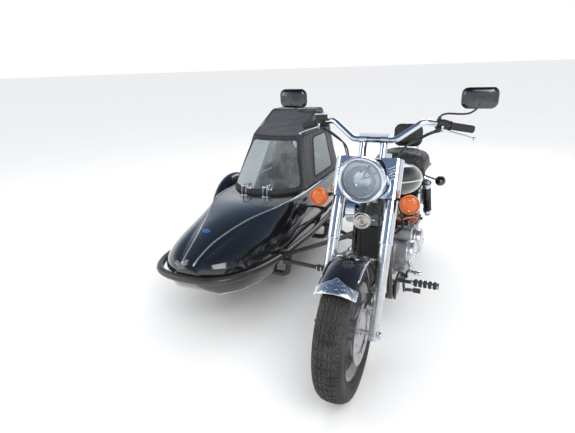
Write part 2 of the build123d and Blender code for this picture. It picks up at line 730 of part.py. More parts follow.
# Tank, seats, backrest
tank_sections = [
    # y, top half, side half, floor half, floor z, side z, edge z, crown
    (486, 46, 70, 46, 815, 872, 922, 10),
    (560, 100, 150, 84, 792, 862, 936, 22),
    (670, 126, 199, 112, 775, 856, 938, 26),
    (800, 116, 190, 106, 764, 832, 904, 27),
    (940, 88, 160, 82, 756, 800, 858, 24),
    (1030, 52, 106, 54, 752, 782, 818, 12),
]
with BuildPart() as fuel_tank:
    loft(sections=[
        dome_section(y, 0, top, side, floor, fz, sz, ez, crown).face()
        for y, top, side, floor, fz, sz, ez, crown in tank_sections
    ])
    add(tube(backbone, backbone_r + 0.3, 90.0), mode=Mode.SUBTRACT)
    with Locations((0, 1030, 745)):
        Box(60, 60, 28, mode=Mode.SUBTRACT)
    add(frame.part, mode=Mode.SUBTRACT)
save(fuel_tank.part, "fuel_tank")
with BuildPart() as tank_cap:
    with BuildSketch(Plane(origin=(0, 700, 900), x_dir=(1, 0, 0), z_dir=(0, 0.12, 1))):
        Circle(36)
    extrude(amount=78)
    add(fuel_tank.part, mode=Mode.SUBTRACT)
save(tank_cap.part, "tank_cap")

seat_sections = [
    (1014, 66, 84, 64, 764, 780, 804, 8),
    (1070, 128, 150, 120, 722, 748, 778, 6),
    (1140, 160, 182, 150, 721, 752, 788, 8),
    (1186, 160, 182, 150, 721, 762, 812, 14),
]
with BuildPart() as saddle:
    loft(sections=[
        dome_section(y, 0, top, side, floor, fz, sz, ez, crown).face()
        for y, top, side, floor, fz, sz, ez, crown in seat_sections
    ])
    with BuildSketch(side_plane(-178)):
        with BuildLine():
            Polyline((1150, 790), (1186, 721), (1420, 721), (1420, 880), (1200, 892), (1158, 872), close=True)
        make_face()
    extrude(amount=356)
    add(frame.part, mode=Mode.SUBTRACT)
    add(fuel_tank.part, mode=Mode.SUBTRACT)
save(saddle.part, "saddle")

with BuildPart() as backrest:
    with BuildSketch(Plane(origin=(0, 1362, 896), x_dir=(1, 0, 0), z_dir=(0, 0.12, 1))):
        RectangleRounded(276, 34, 14)
    extrude(amount=146)
save(backrest.part, "backrest")
with BuildPart() as backrest_frame:
    hoop = [(-150, 1440, 690), (-150, 1398, 880), (-146, 1412, 1052), (146, 1412, 1052), (150, 1398, 880), (150, 1440, 690)]
    add(tube(hoop, 8, 30.0))
    for level in (930, 1010):
        add(rod((-148, 1404 + 0.1 * (level - 930), level), (148, 1404 + 0.1 * (level - 930), level), 6))
    for side in (-1, 1):
        add(rod((side * 60, 1404, 930), (side * 60, 1384, 930), 6))
    add(saddle.part, mode=Mode.SUBTRACT)
    add(backrest.part, mode=Mode.SUBTRACT)
save(backrest_frame.part, "backrest_frame")

# Rear mudguard, lamps, swingarm, dampers
rear_guard_r = 348.0
rear_guard_half = 96.0
with BuildPart() as rear_fender:
    add(mudguard(rear_axle, rear_guard_r, rear_guard_half, 4.0, -58.0, 86.0, 62.0))
    for side in (-1, 1):
        for angle, out, seat_y in ((-24, -3, 1480), (46, 2, 1548)):
            foot = rear_axle + Vector(0, sin(radians(angle)), cos(radians(angle))) * (rear_guard_r - 52)
            add(rod((side * (rear_guard_half + out), foot.Y, foot.Z), (side * 118, seat_y, 705), 9))
    add(frame.part, mode=Mode.SUBTRACT)
save(rear_fender.part, "rear_fender")

rear_lamp_x = 226.0
rear_lamp_y = 1672.0
rear_lamp_z = 600.0
rear_lamp_r = 37.0
with BuildPart() as rear_lamps:
    for side in (-1, 1):
        pod = Vector(side * rear_lamp_x, rear_lamp_y + 20, rear_lamp_z)
        add(lamp_pod(pod, rear_lamp_r, 58, 1))
        add(rod(pod + Vector(-side * 14, -22, 8), (side * 110, 1657, 640), 7))
        # curved grab tube beside the mudguard
        add(tube([(side * 120, 1450, 722), (side * 150, 1640, 735), (side * 112, 1800, 668), (side * 96, 1836, 640)], 9, 40.0))
    tail = rear_axle + Vector(0, 330, 150)
    with BuildSketch(Plane(origin=tail, x_dir=(1, 0, 0), z_dir=(0, 1, 0.18))):
        RectangleRounded(92, 72, 18)
    extrude(amount=34)
    # boss that carries the tail lamp on the mudguard
    out = (tail - rear_axle).normalized()
    add(rod(rear_axle + out * (rear_guard_r + 2.5), tail + out * 10, 14))
    add(rear_fender.part, mode=Mode.SUBTRACT)
    for side in (-1, 1):
        add(rod((side * 118, 1400, 703.3), (side * 118, 1560, 705), frame_tube_r + 0.3), mode=Mode.SUBTRACT)
save(rear_lamps.part, "rear_lamps")
with BuildPart() as rear_lenses:
    for side in (-1, 1):
        add(lamp_lens(Vector(side * rear_lamp_x, rear_lamp_y + 20, rear_lamp_z), rear_lamp_r - 2, 16, 1))
    with BuildSketch(Plane(origin=tail + Vector(0, 34.3, 6.2), x_dir=(1, 0, 0), z_dir=(0, 1, 0.18))):
        RectangleRounded(84, 64, 16)
    extrude(amount=14)
save(rear_lenses.part, "rear_lenses")

arm_x = 101.0
with BuildPart() as swingarm:
    for side in (-1, 1):
        with BuildSketch(side_plane(side * arm_x - 12)):
            with BuildLine():
                Polyline((1118, 316), (1118, 364), (wheelbase + 30, rear_wheel_r + 22), (wheelbase + 30, rear_wheel_r - 22), close=True)
            make_face()
        extrude(amount=24)
    add(rod((-arm_x, 1136, 340), (arm_x, 1136, 340), 20))
    add(rod(rear_axle - Vector(arm_x + 26, 0, 0), rear_axle + Vector(arm_x + 26, 0, 0), rear_axle_r))
    add(rod((-cradle_x, 1095, 340), (cradle_x, 1095, 340), 22.3), mode=Mode.SUBTRACT)
    add(frame.part, mode=Mode.SUBTRACT)
save(swingarm.part, "swingarm")

damper_x = 158.0
damper_top = Vector(0, 1400, 662)
damper_foot = Vector(0, wheelbase + 6, 352)
with BuildPart() as rear_dampers:
    run = (damper_foot - damper_top).normalized()
    span = (damper_foot - damper_top).length
    for side in (-1, 1):
        top = damper_top + Vector(side * damper_x, 0, 0)
        foot = damper_foot + Vector(side * damper_x, 0, 0)
        add(rod(top, foot, 9))
        add(rod(top + run * 14, top + run * 150, 31))
        add(rod(top + run * 150, top + run * (span - 70), 24))
        add(rod(foot - run * 70, foot - run * 40, 29))
        add(rod(top - Vector(side * 24, 0, 0), top + Vector(side * 18, 0, 0), 12))
        add(rod(top - Vector(side * 30, 0, 0), top + Vector(-side * 30, 0, 34), 9))
        add(rod(foot - Vector(side * (damper_x - arm_x - 12.3), 0, 0), foot + Vector(side * 18, 0, 0), 12))
    for side in (-1, 1):
        add(frame.part, mode=Mode.SUBTRACT)
save(rear_dampers.part, "rear_dampers")

# Belt pulley on the left and brake disc on the right of the rear wheel
with BuildPart() as rear_discs:
    add(brake_disc(rear_axle, -88.0, 130.0, 30.0))
    with BuildSketch(Plane(origin=rear_axle + Vector(78.3, 0, 0), x_dir=(0, 1, 0), z_dir=(1, 0, 0))):
        Circle(62)
        Circle(rear_axle_r + 6, mode=Mode.SUBTRACT)
    extrude(amount=6)
    add(rod(rear_axle - Vector(83.4, 0, 0), rear_axle - Vector(78.3, 0, 0), 50))
    add(rod(rear_axle - Vector(90, 0, 0), rear_axle - Vector(70, 0, 0), rear_axle_r + 6), mode=Mode.SUBTRACT)
save(rear_discs.part, "rear_discs")

# Footrests, gear and brake pedals ahead of the engine
peg_y = 540.0
peg_z = 320.0
plate_x = cradle_x + frame_tube_r + seat_gap + 5
with BuildPart() as footrests:
    for side in (-1, 1):
        add(rod((side * 214, peg_y, peg_z), (side * 343, peg_y, peg_z), 17))
        add(rod((side * (cradle_x + 15), peg_y, peg_z), (side * 216, peg_y, peg_z), 10))
        with BuildSketch(side_plane(side * plate_x - 5)):
            with BuildLine():
                Polyline((470, cradle_z - 14), (600, cradle_z - 14), (575, 350), (505, 350), close=True)
            make_face()
        extrude(amount=10)
        add(tube([(side * 152, 600, 300), (side * 170, 520, 268), (side * 190, 430, 330), (side * 262, 430, 334)], 7, 16.0))
        add(rod((side * 128, 590, 298), (side * 160, 600, 300), 10))
    add(frame.part, mode=Mode.SUBTRACT)
save(footrests.part, "footrests")

with BuildPart() as side_covers:
    for side in (-1, 1):
        with BuildSketch(side_plane(side * 141 - 7)):
            with BuildLine():
                Polyline((1010, 560), (1150, 500), (1265, 610), (1240, 684), (1040, 684), close=True)
            make_face()
            fillet(vertices(), 22)
        extrude(amount=14)
        add(rod((side * 133.3, 1160, 640), (side * 120, 1129, 640), 8))
        add(rod((side * 150, 1080, 668), (side * 118, 1100, 668), 8))
    for side in (-1, 1):
        add(tube([(side * cradle_x, 1080, cradle_z), (side * cradle_x, 1140, 540), (side * 118, 1100, 700), (side * 118, 1560, 705)], frame_tube_r + 0.3, 40.0), mode=Mode.SUBTRACT)
save(side_covers.part, "side_covers")

# Side stand folded along the lower left tube
stand_pivot = Vector(142.0, 760.0, 240.0)
stand_length = 215.0
with BuildPart() as side_stand:
    add(rod(stand_pivot - Vector(9, 0, 0), stand_pivot + Vector(9, 0, 0), 15))
    add(rod(stand_pivot, stand_pivot + Vector(0, stand_length, 2), 9))
    add(rod(stand_pivot + Vector(0, stand_length, -8), stand_pivot + Vector(0, stand_length, 12), 17))
    add(rod(stand_pivot - Vector(12, 0, 0), stand_pivot + Vector(12, 0, 0), 6.05), mode=Mode.SUBTRACT)
save(side_stand.part, "side_stand")
with BuildPart() as stand_bracket:
    add(rod(stand_pivot - Vector(24, 0, 0), stand_pivot + Vector(14, 0, 0), 6))
    with Locations(stand_pivot + Vector(-16, 0, 2)):
        Box(8, 46, 44)
    add(rod((cradle_x, 700, cradle_z), (cradle_x, 820, cradle_z), frame_tube_r + 0.3), mode=Mode.SUBTRACT)
save(stand_bracket.part, "stand_bracket")

# Sidecar chassis: perimeter tube, cross tubes under the hull, stub axle, struts
rail_in = chair_x + 378.0
rail_out = chair_x - 372.0
rail_z = bumper_z
floor_z = 186.0
cross_z = floor_z - 32.0
with BuildPart() as chair_frame:
    rim_line = [
        (rail_in, 1900, rail_z),
        (rail_in, 1000, rail_z),
        (chair_x + 345, 560, rail_z),
        (chair_x + 300, 150, bumper_z),
        (chair_x - 300, 150, bumper_z),
        (chair_x - 350, 560, rail_z),
        (rail_out, 1000, rail_z - 10),
        (rail_out, 1900, rail_z - 10),
    ]
    add(tube(rim_line, bumper_r, (120.0, 120.0, bumper_bend, bumper_bend, 120.0, 120.0)))
    for y in (700.0, chair_axle_y, 1880.0):
        half_in = rail_in - 2 if y > 900 else chair_x + 352
        half_out = rail_out + 2 if y > 900 else chair_x - 352
        add(tube([(half_in, y, rail_z - 4), (half_in - 26, y, cross_z), (half_out + 26, y, cross_z), (half_out, y, rail_z - 14)], 18, 42.0))
    for y in (1000.0, 1760.0):
        for x in (chair_x - 180, chair_x + 180):
            add(rod((x, y, cross_z), (x, y, floor_z + 6), 16))
        add(tube([(chair_x - 180, 700, cross_z), (chair_x - 180, 1880, cross_z)], 15))
        add(tube([(chair_x + 180, 700, cross_z), (chair_x + 180, 1880, cross_z)], 15))
    add(rod((rail_out + 4, chair_axle_y, chair_wheel_r), chair_axle - Vector(chair_hub_half + 14, 0, 0), chair_axle_r))
    add(rod((rail_out + 14, chair_axle_y, chair_wheel_r), (rail_out - 16, chair_axle_y, chair_wheel_r), 24))
    struts = [
        ((chair_x + 348, 600, rail_z - 34), (-cradle_x, 640, cradle_z + 2)),
        ((chair_x + 348, 600, rail_z), (-88, 444, 600)),
        ((rail_in, 1290, rail_z - 20), (-cradle_x, 1050, cradle_z + 2)),
        ((rail_in, 1500, rail_z), (-118, 1250, 700)),
    ]
    for near, far in struts:
        near, far = Vector(near), Vector(far)
        run = (far - near).normalized()
        add(rod(near, far, 13))
        add(rod(far - run * 40, far, 20))
        add(rod(near, near + run * 52, 20))
    add(frame.part, mode=Mode.SUBTRACT)

# Sidecar hull: a boat-nosed shell
hull_sections = [
    # y, top half, side half, floor half, floor z, side z, edge z, crown
    (196, 40, 74, 40, 322, 372, 424, 10),
    (262, 88, 160, 112, 244, 352, 452, 22),
    (420, 140, 252, 196, 198, 356, 505, 34),
    (700, 226, 312, 250, floor_z, 378, 572, 44),
    (1010, 296, 340, 272, floor_z, 402, 606, 26),
    (1400, 306, 346, 276, floor_z, 404, 612, 24),
    (1780, 298, 338, 266, floor_z, 408, 612, 26),
    (2050, 272, 312, 226, 208, 426, 606, 22),
    (2200, 150, 214, 130, 286, 436, 560, 20),
]


def hull(inset):
    rows = hull_sections if inset == 0 else hull_sections[2:-1]
    return lofted([
        dome_section(y, chair_x, top - inset, side - inset, floor - inset, fz + inset, sz, ez - inset, crown)
        for y, top, side, floor, fz, sz, ez, crown in rows
    ])


deck_z = 646.0
coaming_half = 280.0
coaming_front = 938.0
coaming_rear = 2004.0
with BuildPart() as chair_body:
    add(hull(0))
    # flat coaming that carries the screen and the hood
    with BuildSketch(Plane.XY.offset(560)):
        with Locations((chair_x, 0.5 * (coaming_front + coaming_rear))):
            RectangleRounded(2 * coaming_half, coaming_rear - coaming_front, 60)
    extrude(amount=deck_z - 560)
    add(hull(hull_wall), mode=Mode.SUBTRACT)
    with BuildSketch(Plane.XY.offset(floor_z + 100)):
        with Locations((chair_x, 0.5 * (cockpit_front + cockpit_rear))):
            RectangleRounded(2 * cockpit_half, cockpit_rear - cockpit_front, 70)
    extrude(amount=600, mode=Mode.SUBTRACT)
save(chair_body.part, "chair_body")

with BuildPart() as chassis_clear:
    add(chair_frame.part)
    add(hull(0), mode=Mode.SUBTRACT)
save(chassis_clear.part, "chair_frame")

with BuildPart() as chair_trim:
    for side in (-1, 1):
        line = [(34, 226, 447), (72, 341, 506), (146, 565, 572), (215, 775, 616), (262, 900, 633)]
        add(tube([(chair_x + side * x, y, z) for x, y, z in line], 7, 60.0))
    add(hull(0), mode=Mode.SUBTRACT)
    add(chair_body.part, mode=Mode.SUBTRACT)
save(chair_trim.part, "chair_trim")

with BuildPart() as chair_seat:
    with Locations((chair_x, 1440, 300)):
        Box(430, 400, 130)
    with BuildSketch(side_plane(chair_x - 215)):
        with BuildLine():
            Polyline((1570, 300), (1590, 330), (1660, 760), (1610, 775), (1540, 365), close=True)
        make_face()
    extrude(amount=430)
    with Locations((chair_x, 1450, floor_z + hull_wall + 1 + 21.5)):
        Box(380, 330, 43)
save(chair_seat.part, "chair_seat")

chair_guard_r = 322.0
chair_guard_half = 60.0
with BuildPart() as chair_fender:
    add(mudguard(chair_axle, chair_guard_r, chair_guard_half, 3.0, -84.0, 88.0, 52.0))
    for back in (-1, 1):
        add(rod((-chair_track + chair_guard_half - 2, chair_axle_y + 250 * back, 470), (rail_out, chair_axle_y + 180 * back, rail_z), 7))
        add(rod((rail_out, chair_axle_y + 180 * back - 16, rail_z - 10), (rail_out, chair_axle_y + 180 * back + 16, rail_z - 10), 27))
    add(tube([(rail_out, 1000, rail_z - 10), (rail_out, 1900, rail_z - 10)], bumper_r + 0.3), mode=Mode.SUBTRACT)
save(chair_fender.part, "chair_fender")

# Hood: one folding shell of canvas with a wrap-round screen and clear panels
hood_levels = [
    # z, half width, corner y, centre y, rear y
    (deck_z + 0.3, 278, 1002, 944, 1996),
    (962, 236, 1368, 1332, 1962),
    (1118, 190, 1640, 1626, 1806),
]


def hood_solid(inset):
    rows = []
    for z, half, corner, centre, rear in hood_levels:
        drop = inset if z > 1100 else 0
        low = -30 if inset and z < 700 else 0
        with BuildSketch(Plane.XY.offset(z - drop + low)) as row:
            with BuildLine():
                front = ThreePointArc(
                    (chair_x - half + inset, corner + inset * 1.4),
                    (chair_x, centre + inset * 1.6),
                    (chair_x + half - inset, corner + inset * 1.4),
                )
                Polyline(
                    front @ 1,
                    (chair_x + half - inset, rear - inset),
                    (chair_x - half + inset, rear - inset),
                    front @ 0,
                )
            make_face()
        rows.append(row.sketch.face())
    with BuildPart() as made:
        loft(sections=rows, ruled=True)
    return made.part


def screen_zone(grow):
    with BuildPart() as made:
        with BuildSketch(cross_plane(1480)):
            with BuildLine():
                Polyline(
                    (chair_x - 252 - grow, deck_z + 26 - grow),
                    (chair_x + 252 + grow, deck_z + 26 - grow),
                    (chair_x + 216 + grow, 936 + grow),
                    (chair_x - 216 - grow, 936 + grow),
                    close=True,
                )
            make_face()
        extrude(amount=600)
    return made.part


def side_zone(grow):
    with BuildPart() as made:
        with BuildSketch(side_plane(chair_x - 400)):
            with BuildLine():
                Polyline(
                    (1130 - 2 * grow, deck_z + 40 - grow),
                    (1560 + grow, deck_z + 40 - grow),
                    (1560 + grow, 926 + grow),
                    (1392 - grow, 926 + grow),
                    close=True,
                )
            make_face()
        extrude(amount=800)
    return made.part


def rear_zone(grow):
    with BuildPart() as made:
        with BuildSketch(cross_plane(2100)):
            with Locations((chair_x, 820)):
                RectangleRounded(330 + 2 * grow, 170 + 2 * grow, 30 + grow)
        extrude(amount=260)
    return made.part


with BuildPart() as hood_shell:
    add(hood_solid(0))
    add(hood_solid(hood_wall), mode=Mode.SUBTRACT)
with BuildPart() as hood_canvas:
    add(hood_shell.part)
    for zone in (screen_zone(seat_gap), side_zone(seat_gap), rear_zone(seat_gap)):
        add(zone, mode=Mode.SUBTRACT)
save(hood_canvas.part, "hood_canvas")
with BuildPart() as windscreen:
    add(hood_shell.part)
    add(screen_zone(0), mode=Mode.INTERSECT)
save(windscreen.part, "windscreen")
with BuildPart() as hood_windows:
    add(side_zone(0))
    add(rear_zone(0))
    add(hood_shell.part, mode=Mode.INTERSECT)
    add(screen_zone(seat_gap), mode=Mode.SUBTRACT)
save(hood_windows.part, "hood_windows")

# Two hinges at the foot of the screen
hinge_y = 916.0
hinge_z = deck_z + 20.0
hinge_pin_r = 5.0
hinge_leaves = [chair_x - 112, chair_x + 112]
with BuildPart() as hinge_posts:
    for x in hinge_leaves:
        add(rod((x - 24, hinge_y, hinge_z), (x + 24, hinge_y, hinge_z), hinge_pin_r))
        for end in (x - 20, x + 20):
            with BuildSketch(side_plane(end - 4)):
                add(strap((hinge_y, hinge_z), 9, (hinge_y, 600), 11))
            extrude(amount=8)
    add(hull(0), mode=Mode.SUBTRACT)
    add(chair_body.part, mode=Mode.SUBTRACT)
save(hinge_posts.part, "hinge_posts")
with BuildPart() as hinge_arms:
    for x in hinge_leaves:
        with BuildSketch(side_plane(x - 10)):
            add(strap((hinge_y, hinge_z), 11, (hinge_y + 60, hinge_z + 26), 7))
        extrude(amount=20)
        add(rod((x - 12, hinge_y, hinge_z), (x + 12, hinge_y, hinge_z), hinge_pin_r + 0.05), mode=Mode.SUBTRACT)
    add(hood_shell.part, mode=Mode.SUBTRACT)
save(hinge_arms.part, "hinge_arms")
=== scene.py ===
import json
import math

import bmesh
import bpy
from mathutils import Matrix, Vector, noise
from mathutils.bvhtree import BVHTree
from mathutils.kdtree import KDTree


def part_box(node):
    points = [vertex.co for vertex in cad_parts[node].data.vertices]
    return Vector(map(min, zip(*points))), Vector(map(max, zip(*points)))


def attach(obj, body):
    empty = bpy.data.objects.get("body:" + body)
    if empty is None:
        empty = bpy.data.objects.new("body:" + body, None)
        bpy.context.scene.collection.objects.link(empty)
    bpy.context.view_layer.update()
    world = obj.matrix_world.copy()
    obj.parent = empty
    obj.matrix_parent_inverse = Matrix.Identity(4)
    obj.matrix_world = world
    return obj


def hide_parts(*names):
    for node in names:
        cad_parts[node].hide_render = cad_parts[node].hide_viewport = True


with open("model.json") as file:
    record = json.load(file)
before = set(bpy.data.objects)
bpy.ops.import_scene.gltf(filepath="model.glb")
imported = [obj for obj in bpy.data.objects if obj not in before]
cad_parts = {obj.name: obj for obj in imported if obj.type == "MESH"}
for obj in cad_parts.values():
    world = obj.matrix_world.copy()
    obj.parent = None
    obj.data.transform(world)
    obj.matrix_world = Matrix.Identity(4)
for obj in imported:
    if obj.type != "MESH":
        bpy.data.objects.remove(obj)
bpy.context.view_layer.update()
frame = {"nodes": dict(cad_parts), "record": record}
print("frame loaded")

# The motorcycle's own centre plane and front axle, read from the front tyre
tyreLow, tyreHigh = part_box("front_tyre")
bikeX = (tyreLow[0] + tyreHigh[0]) / 2
axleY = (tyreLow[1] + tyreHigh[1]) / 2
wheelR = (tyreHigh[2] - tyreLow[2]) / 2
rake = math.radians(27)
chairMiddle = -930


def at(x, y, z):
    # millimetres from the front axle's ground point to the row frame
    return Vector((bikeX + x / 1000, axleY + y / 1000, z / 1000))


def onChair(x, y, z):
    # the same, with x from the sidecar's centre plane
    return at(chairMiddle + x, y, z)


def onFork(x, back, up):
    # millimetres in the fork's own frame, from the axle
    return at(
        x,
        back * math.cos(rake) + up * math.sin(rake),
        wheelR * 1000 - back * math.sin(rake) + up * math.cos(rake),
    )


forkUp = Vector((0, math.sin(rake), math.cos(rake)))
forkBack = Vector((0, math.cos(rake), -math.sin(rake)))
frontAxle = at(0, 0, wheelR * 1000)
chairCentre = onChair(0, 0, 0).x


def middleOf(node):
    low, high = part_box(node)
    return Vector([(low[i] + high[i]) / 2 for i in range(3)])


# shaders
class Wire:
    # a socket that is added to, multiplied or taken from a number, each by a Math node
    def __init__(self, finish, socket):
        self.finish, self.socket = finish, socket

    def calc(self, operation, first, second):
        return self.finish.node("ShaderNodeMath", {"operation": operation}, {0: first, 1: second})

    def __add__(self, other):
        return self.calc("ADD", self, other)

    def __rsub__(self, other):
        return self.calc("SUBTRACT", other, self)

    def __mul__(self, other):
        return self.calc("MULTIPLY", self, other)


class Finish:
    # one material: node() adds any node, shade() sets or links the main shader's sockets
    def __init__(self, name):
        self.material = bpy.data.materials.new(name)
        self.material.use_nodes = True
        self.tree = self.material.node_tree
        self.tree.nodes.clear()
        self.out = self.tree.nodes.new("ShaderNodeOutputMaterial")
        self.main = self.tree.nodes.new("ShaderNodeBsdfPrincipled")
        self.tree.links.new(self.main.outputs[0], self.out.inputs[0])

    def feed(self, socket, value):
        if isinstance(value, Wire):
            self.tree.links.new(value.socket, socket)
        elif isinstance(value, tuple) and len(value) == 3 and socket.type == "RGBA":
            socket.default_value = (*value, 1)
        else:
            socket.default_value = value

    def node(self, kind, settings=None, values=None, out=0):
        made = self.tree.nodes.new(kind)
        for key, value in (settings or {}).items():
            if key == "stops":
                ramp = made.color_ramp.elements
                while len(ramp) < len(value):
                    ramp.new(0.5)
                for stop, (place, tone) in zip(ramp, value):
                    stop.position = place
                    stop.color = (tone, tone, tone, 1) if isinstance(tone, (int, float)) else (*tone, 1)
            else:
                setattr(made, key, value)
        for key, value in (values or {}).items():
            self.feed(made.inputs[key], value)
        return Wire(self, made.outputs[out])

    def shade(self, **values):
        for key, value in values.items():
            self.feed(self.main.inputs[key.replace("_", " ")], value)
        return self

    def place(self):
        return self.node("ShaderNodeTexCoord", out=3)

    def noise(self, scale, detail=3.0, rough=0.5, vector=None):
        return self.node(
            "ShaderNodeTexNoise", None,
            {"Vector": vector or self.place(), "Scale": scale, "Detail": detail, "Roughness": rough},
        )

    def ramp(self, source, stops):
        return self.node("ShaderNodeValToRGB", {"stops": stops}, {0: source})

    def blendTones(self, amount, first, second):
        return self.node(
            "ShaderNodeMix", {"data_type": "RGBA"}, {0: amount, 6: first, 7: second}, out=2
        )

    def bump(self, height, strength, distance, under=None):
        values = {"Height": height, "Strength": strength, "Distance": distance}
        if under:
            values["Normal"] = under
        return self.node("ShaderNodeBump", None, values)

    def waves(self, scale, **settings):
        # bands or rings across the place, with distortion and detail given as numbers
        values = {"Vector": self.place(), "Scale": scale}
        for key in ("Distortion", "Detail"):
            if key in settings:
                values[key] = settings.pop(key)
        return self.node("ShaderNodeTexWave", settings, values)

    def part(self, index):
        # the place's x, y or z
        return self.node("ShaderNodeSeparateXYZ", None, {0: self.place()}, out=index)


roadFilm = {"paint": (0.16, 0.145, 0.125), "chrome": (0.3, 0.28, 0.25), "alloy": (0.13, 0.12, 0.105)}


def roadDust(finish, tone, kind, share, low, high):
    # road film that fades with height above the ground
    height = finish.part(2)
    fade = finish.node("ShaderNodeMapRange", None, {0: height, 1: low, 2: high, 3: 1.0, 4: 0.0})
    patch = finish.ramp(finish.noise(9, 5, 0.65), [(0.38, 0.15), (0.72, 1.0)])
    amount = fade * patch * share
    return finish.blendTones(amount, tone, roadFilm[kind]), amount


def paintFinish(name, tone, rough, coat, dustTop=0.55, dustAmount=0.3):
    f = Finish(name)
    colour, amount = roadDust(f, tone, "paint", dustAmount, 0.02, dustTop)
    cloud = f.noise(14, 4)
    speck = f.ramp(f.noise(260, 2), [(0.62, 0.0), (0.75, 1.0)])
    orange = f.noise(420, 1)
    f.shade(
        Base_Color=colour, Roughness=cloud * 0.05 + amount * 0.5 + speck * 0.03 + rough,
        Coat_Weight=coat, Coat_Roughness=0.04, Specular_IOR_Level=0.5,
        Normal=f.bump(orange, 0.04, 0.0004),
    )
    return f.material


# The default tone is tinted blue: a painted reflection of bluish surroundings, not the chrome's own colour.
def chromeFinish(name, tone=(0.66, 0.7, 0.76), rough=0.05, dustTop=0.5):
    f = Finish(name)
    colour, amount = roadDust(f, tone, "chrome", 0.25, 0.02, dustTop)
    smear = f.ramp(f.noise(7, 6, 0.7), [(0.4, 0.0), (0.8, 1.0)])
    pits = f.ramp(f.noise(330, 2), [(0.66, 0.0), (0.74, 1.0)])
    f.shade(
        Base_Color=colour, Metallic=1.0, Roughness=smear * 0.07 + pits * 0.12 + amount * 0.4 + rough,
        Normal=f.bump(f.noise(30, 2), 0.03, 0.002),
    )
    return f.material


def alloyFinish(name, tone, rough, grainScale=520, dustTop=0.5):
    f = Finish(name)
    stain = f.ramp(f.noise(17, 6, 0.7), [(0.35, 0.72), (0.7, 1.0)])
    multiply = {"data_type": "RGBA", "blend_type": "MULTIPLY"}
    base = f.node("ShaderNodeMix", multiply, {0: 1.0, 6: tone, 7: stain}, out=2)
    colour, amount = roadDust(f, base, "alloy", 0.45, 0.05, dustTop)
    grain = f.noise(grainScale, 3, 0.6)
    f.shade(
        Base_Color=colour, Metallic=0.92, Roughness=grain * 0.16 + amount * 0.4 + rough,
        Normal=f.bump(grain, 0.18, 0.0006),
    )
    return f.material


def brushedFinish(name, tone, centre):
    # turned marks round an axle that runs along x
    f = Finish(name)
    moved = f.node("ShaderNodeVectorMath", {"operation": "SUBTRACT"}, {0: f.place(), 1: centre})
    flat = f.node("ShaderNodeVectorMath", {"operation": "MULTIPLY"}, {0: moved, 1: (0, 1, 1)})
    reach = f.node("ShaderNodeVectorMath", {"operation": "LENGTH"}, {0: flat}, out=1)
    rings = f.node("ShaderNodeTexNoise", {"noise_dimensions": "1D"}, {"W": reach, "Scale": 900.0, "Detail": 2.0})
    f.shade(
        Base_Color=f.blendTones(rings, tone, tuple(c * 0.7 for c in tone)), Metallic=1.0,
        Roughness=rings * 0.2 + 0.2, Normal=f.bump(rings, 0.15, 0.0005),
    )
    return f.material


def wornFinish(name, patches, tones, rough, grain, share=1.0, metallic=0.0, **more):
    # two tones mixed by patches of wear: patches are a noise and a ramp, rough is a gain and a base,
    # grain is a noise with its strength and depth
    f = Finish(name)
    wear = f.ramp(f.noise(*patches[0]), [(patches[1], 0.0), (patches[2], 1.0)])
    f.shade(
        Base_Color=f.blendTones(wear * share, *tones), Roughness=wear * rough[0] + rough[1],
        Metallic=metallic, Normal=f.bump(f.noise(*grain[0]), *grain[1:]), **more,
    )
    return f.material


def rubberFinish(name, tone, rough, dusty):
    return wornFinish(name, ((11, 6, 0.65), 0.35, 0.75), (tone, (0.12, 0.112, 0.1)), (0.1, rough),
                      ((700, 3), 0.25, 0.0005), dusty, Specular_IOR_Level=0.35)


def leatherFinish(name, tone):
    f = Finish(name)
    cells = f.node("ShaderNodeTexVoronoi", {"feature": "DISTANCE_TO_EDGE"}, {"Vector": f.place(), "Scale": 420.0})
    crease = f.ramp(cells, [(0.0, 0.0), (0.09, 1.0)])
    soft = f.noise(24, 5, 0.6)
    worn = f.ramp(soft, [(0.45, 0.0), (0.75, 1.0)])
    f.shade(
        Base_Color=f.blendTones(worn * 0.5, tone, tuple(c * 1.9 + 0.008 for c in tone)),
        Roughness=worn * 0.12 + crease * 0.06 + 0.36, Specular_IOR_Level=0.5,
        Normal=f.bump(crease, 0.3, 0.0004, f.bump(soft, 0.15, 0.003)),
    )
    return f.material


def canvasFinish(name, tone):
    f = Finish(name)
    across = f.waves(210.0, bands_direction="X", Distortion=0.6)
    along = f.waves(150.0, bands_direction="DIAGONAL", Distortion=0.6)
    weave = across * 0.5 + along * 0.5
    fade = f.ramp(f.noise(6, 6, 0.62), [(0.3, 0.0), (0.75, 1.0)])
    f.shade(
        Base_Color=f.blendTones(fade, tone, tuple(c * 1.7 for c in tone)),
        Roughness=fade * 0.08 + 0.72, Sheen_Weight=0.25, Sheen_Roughness=0.4,
        Normal=f.bump(weave, 0.35, 0.0006, f.bump(f.noise(9, 4), 0.3, 0.006)),
    )
    return f.material


def plasticFinish(name, tone, rough):
    scuffed = tuple(c + 0.05 for c in tone)
    return wornFinish(name, ((21, 5, 0.6), 0.5, 0.8), (tone, scuffed), (0.12, rough), ((900, 2), 0.2, 0.0003), 0.25)


def lensFinish(name, tone, glow):
    # a ribbed signal lens
    f = Finish(name)
    ribs = f.waves(55.0, bands_direction="Z")
    deep = f.noise(60, 2)
    f.shade(
        Base_Color=f.blendTones(deep * 0.35, tone, tuple(c * 0.55 for c in tone)), Roughness=ribs * 0.06 + 0.1,
        Coat_Weight=0.6, Emission_Color=tone, Emission_Strength=glow, Normal=f.bump(ribs, 0.35, 0.0012),
    )
    return f.material


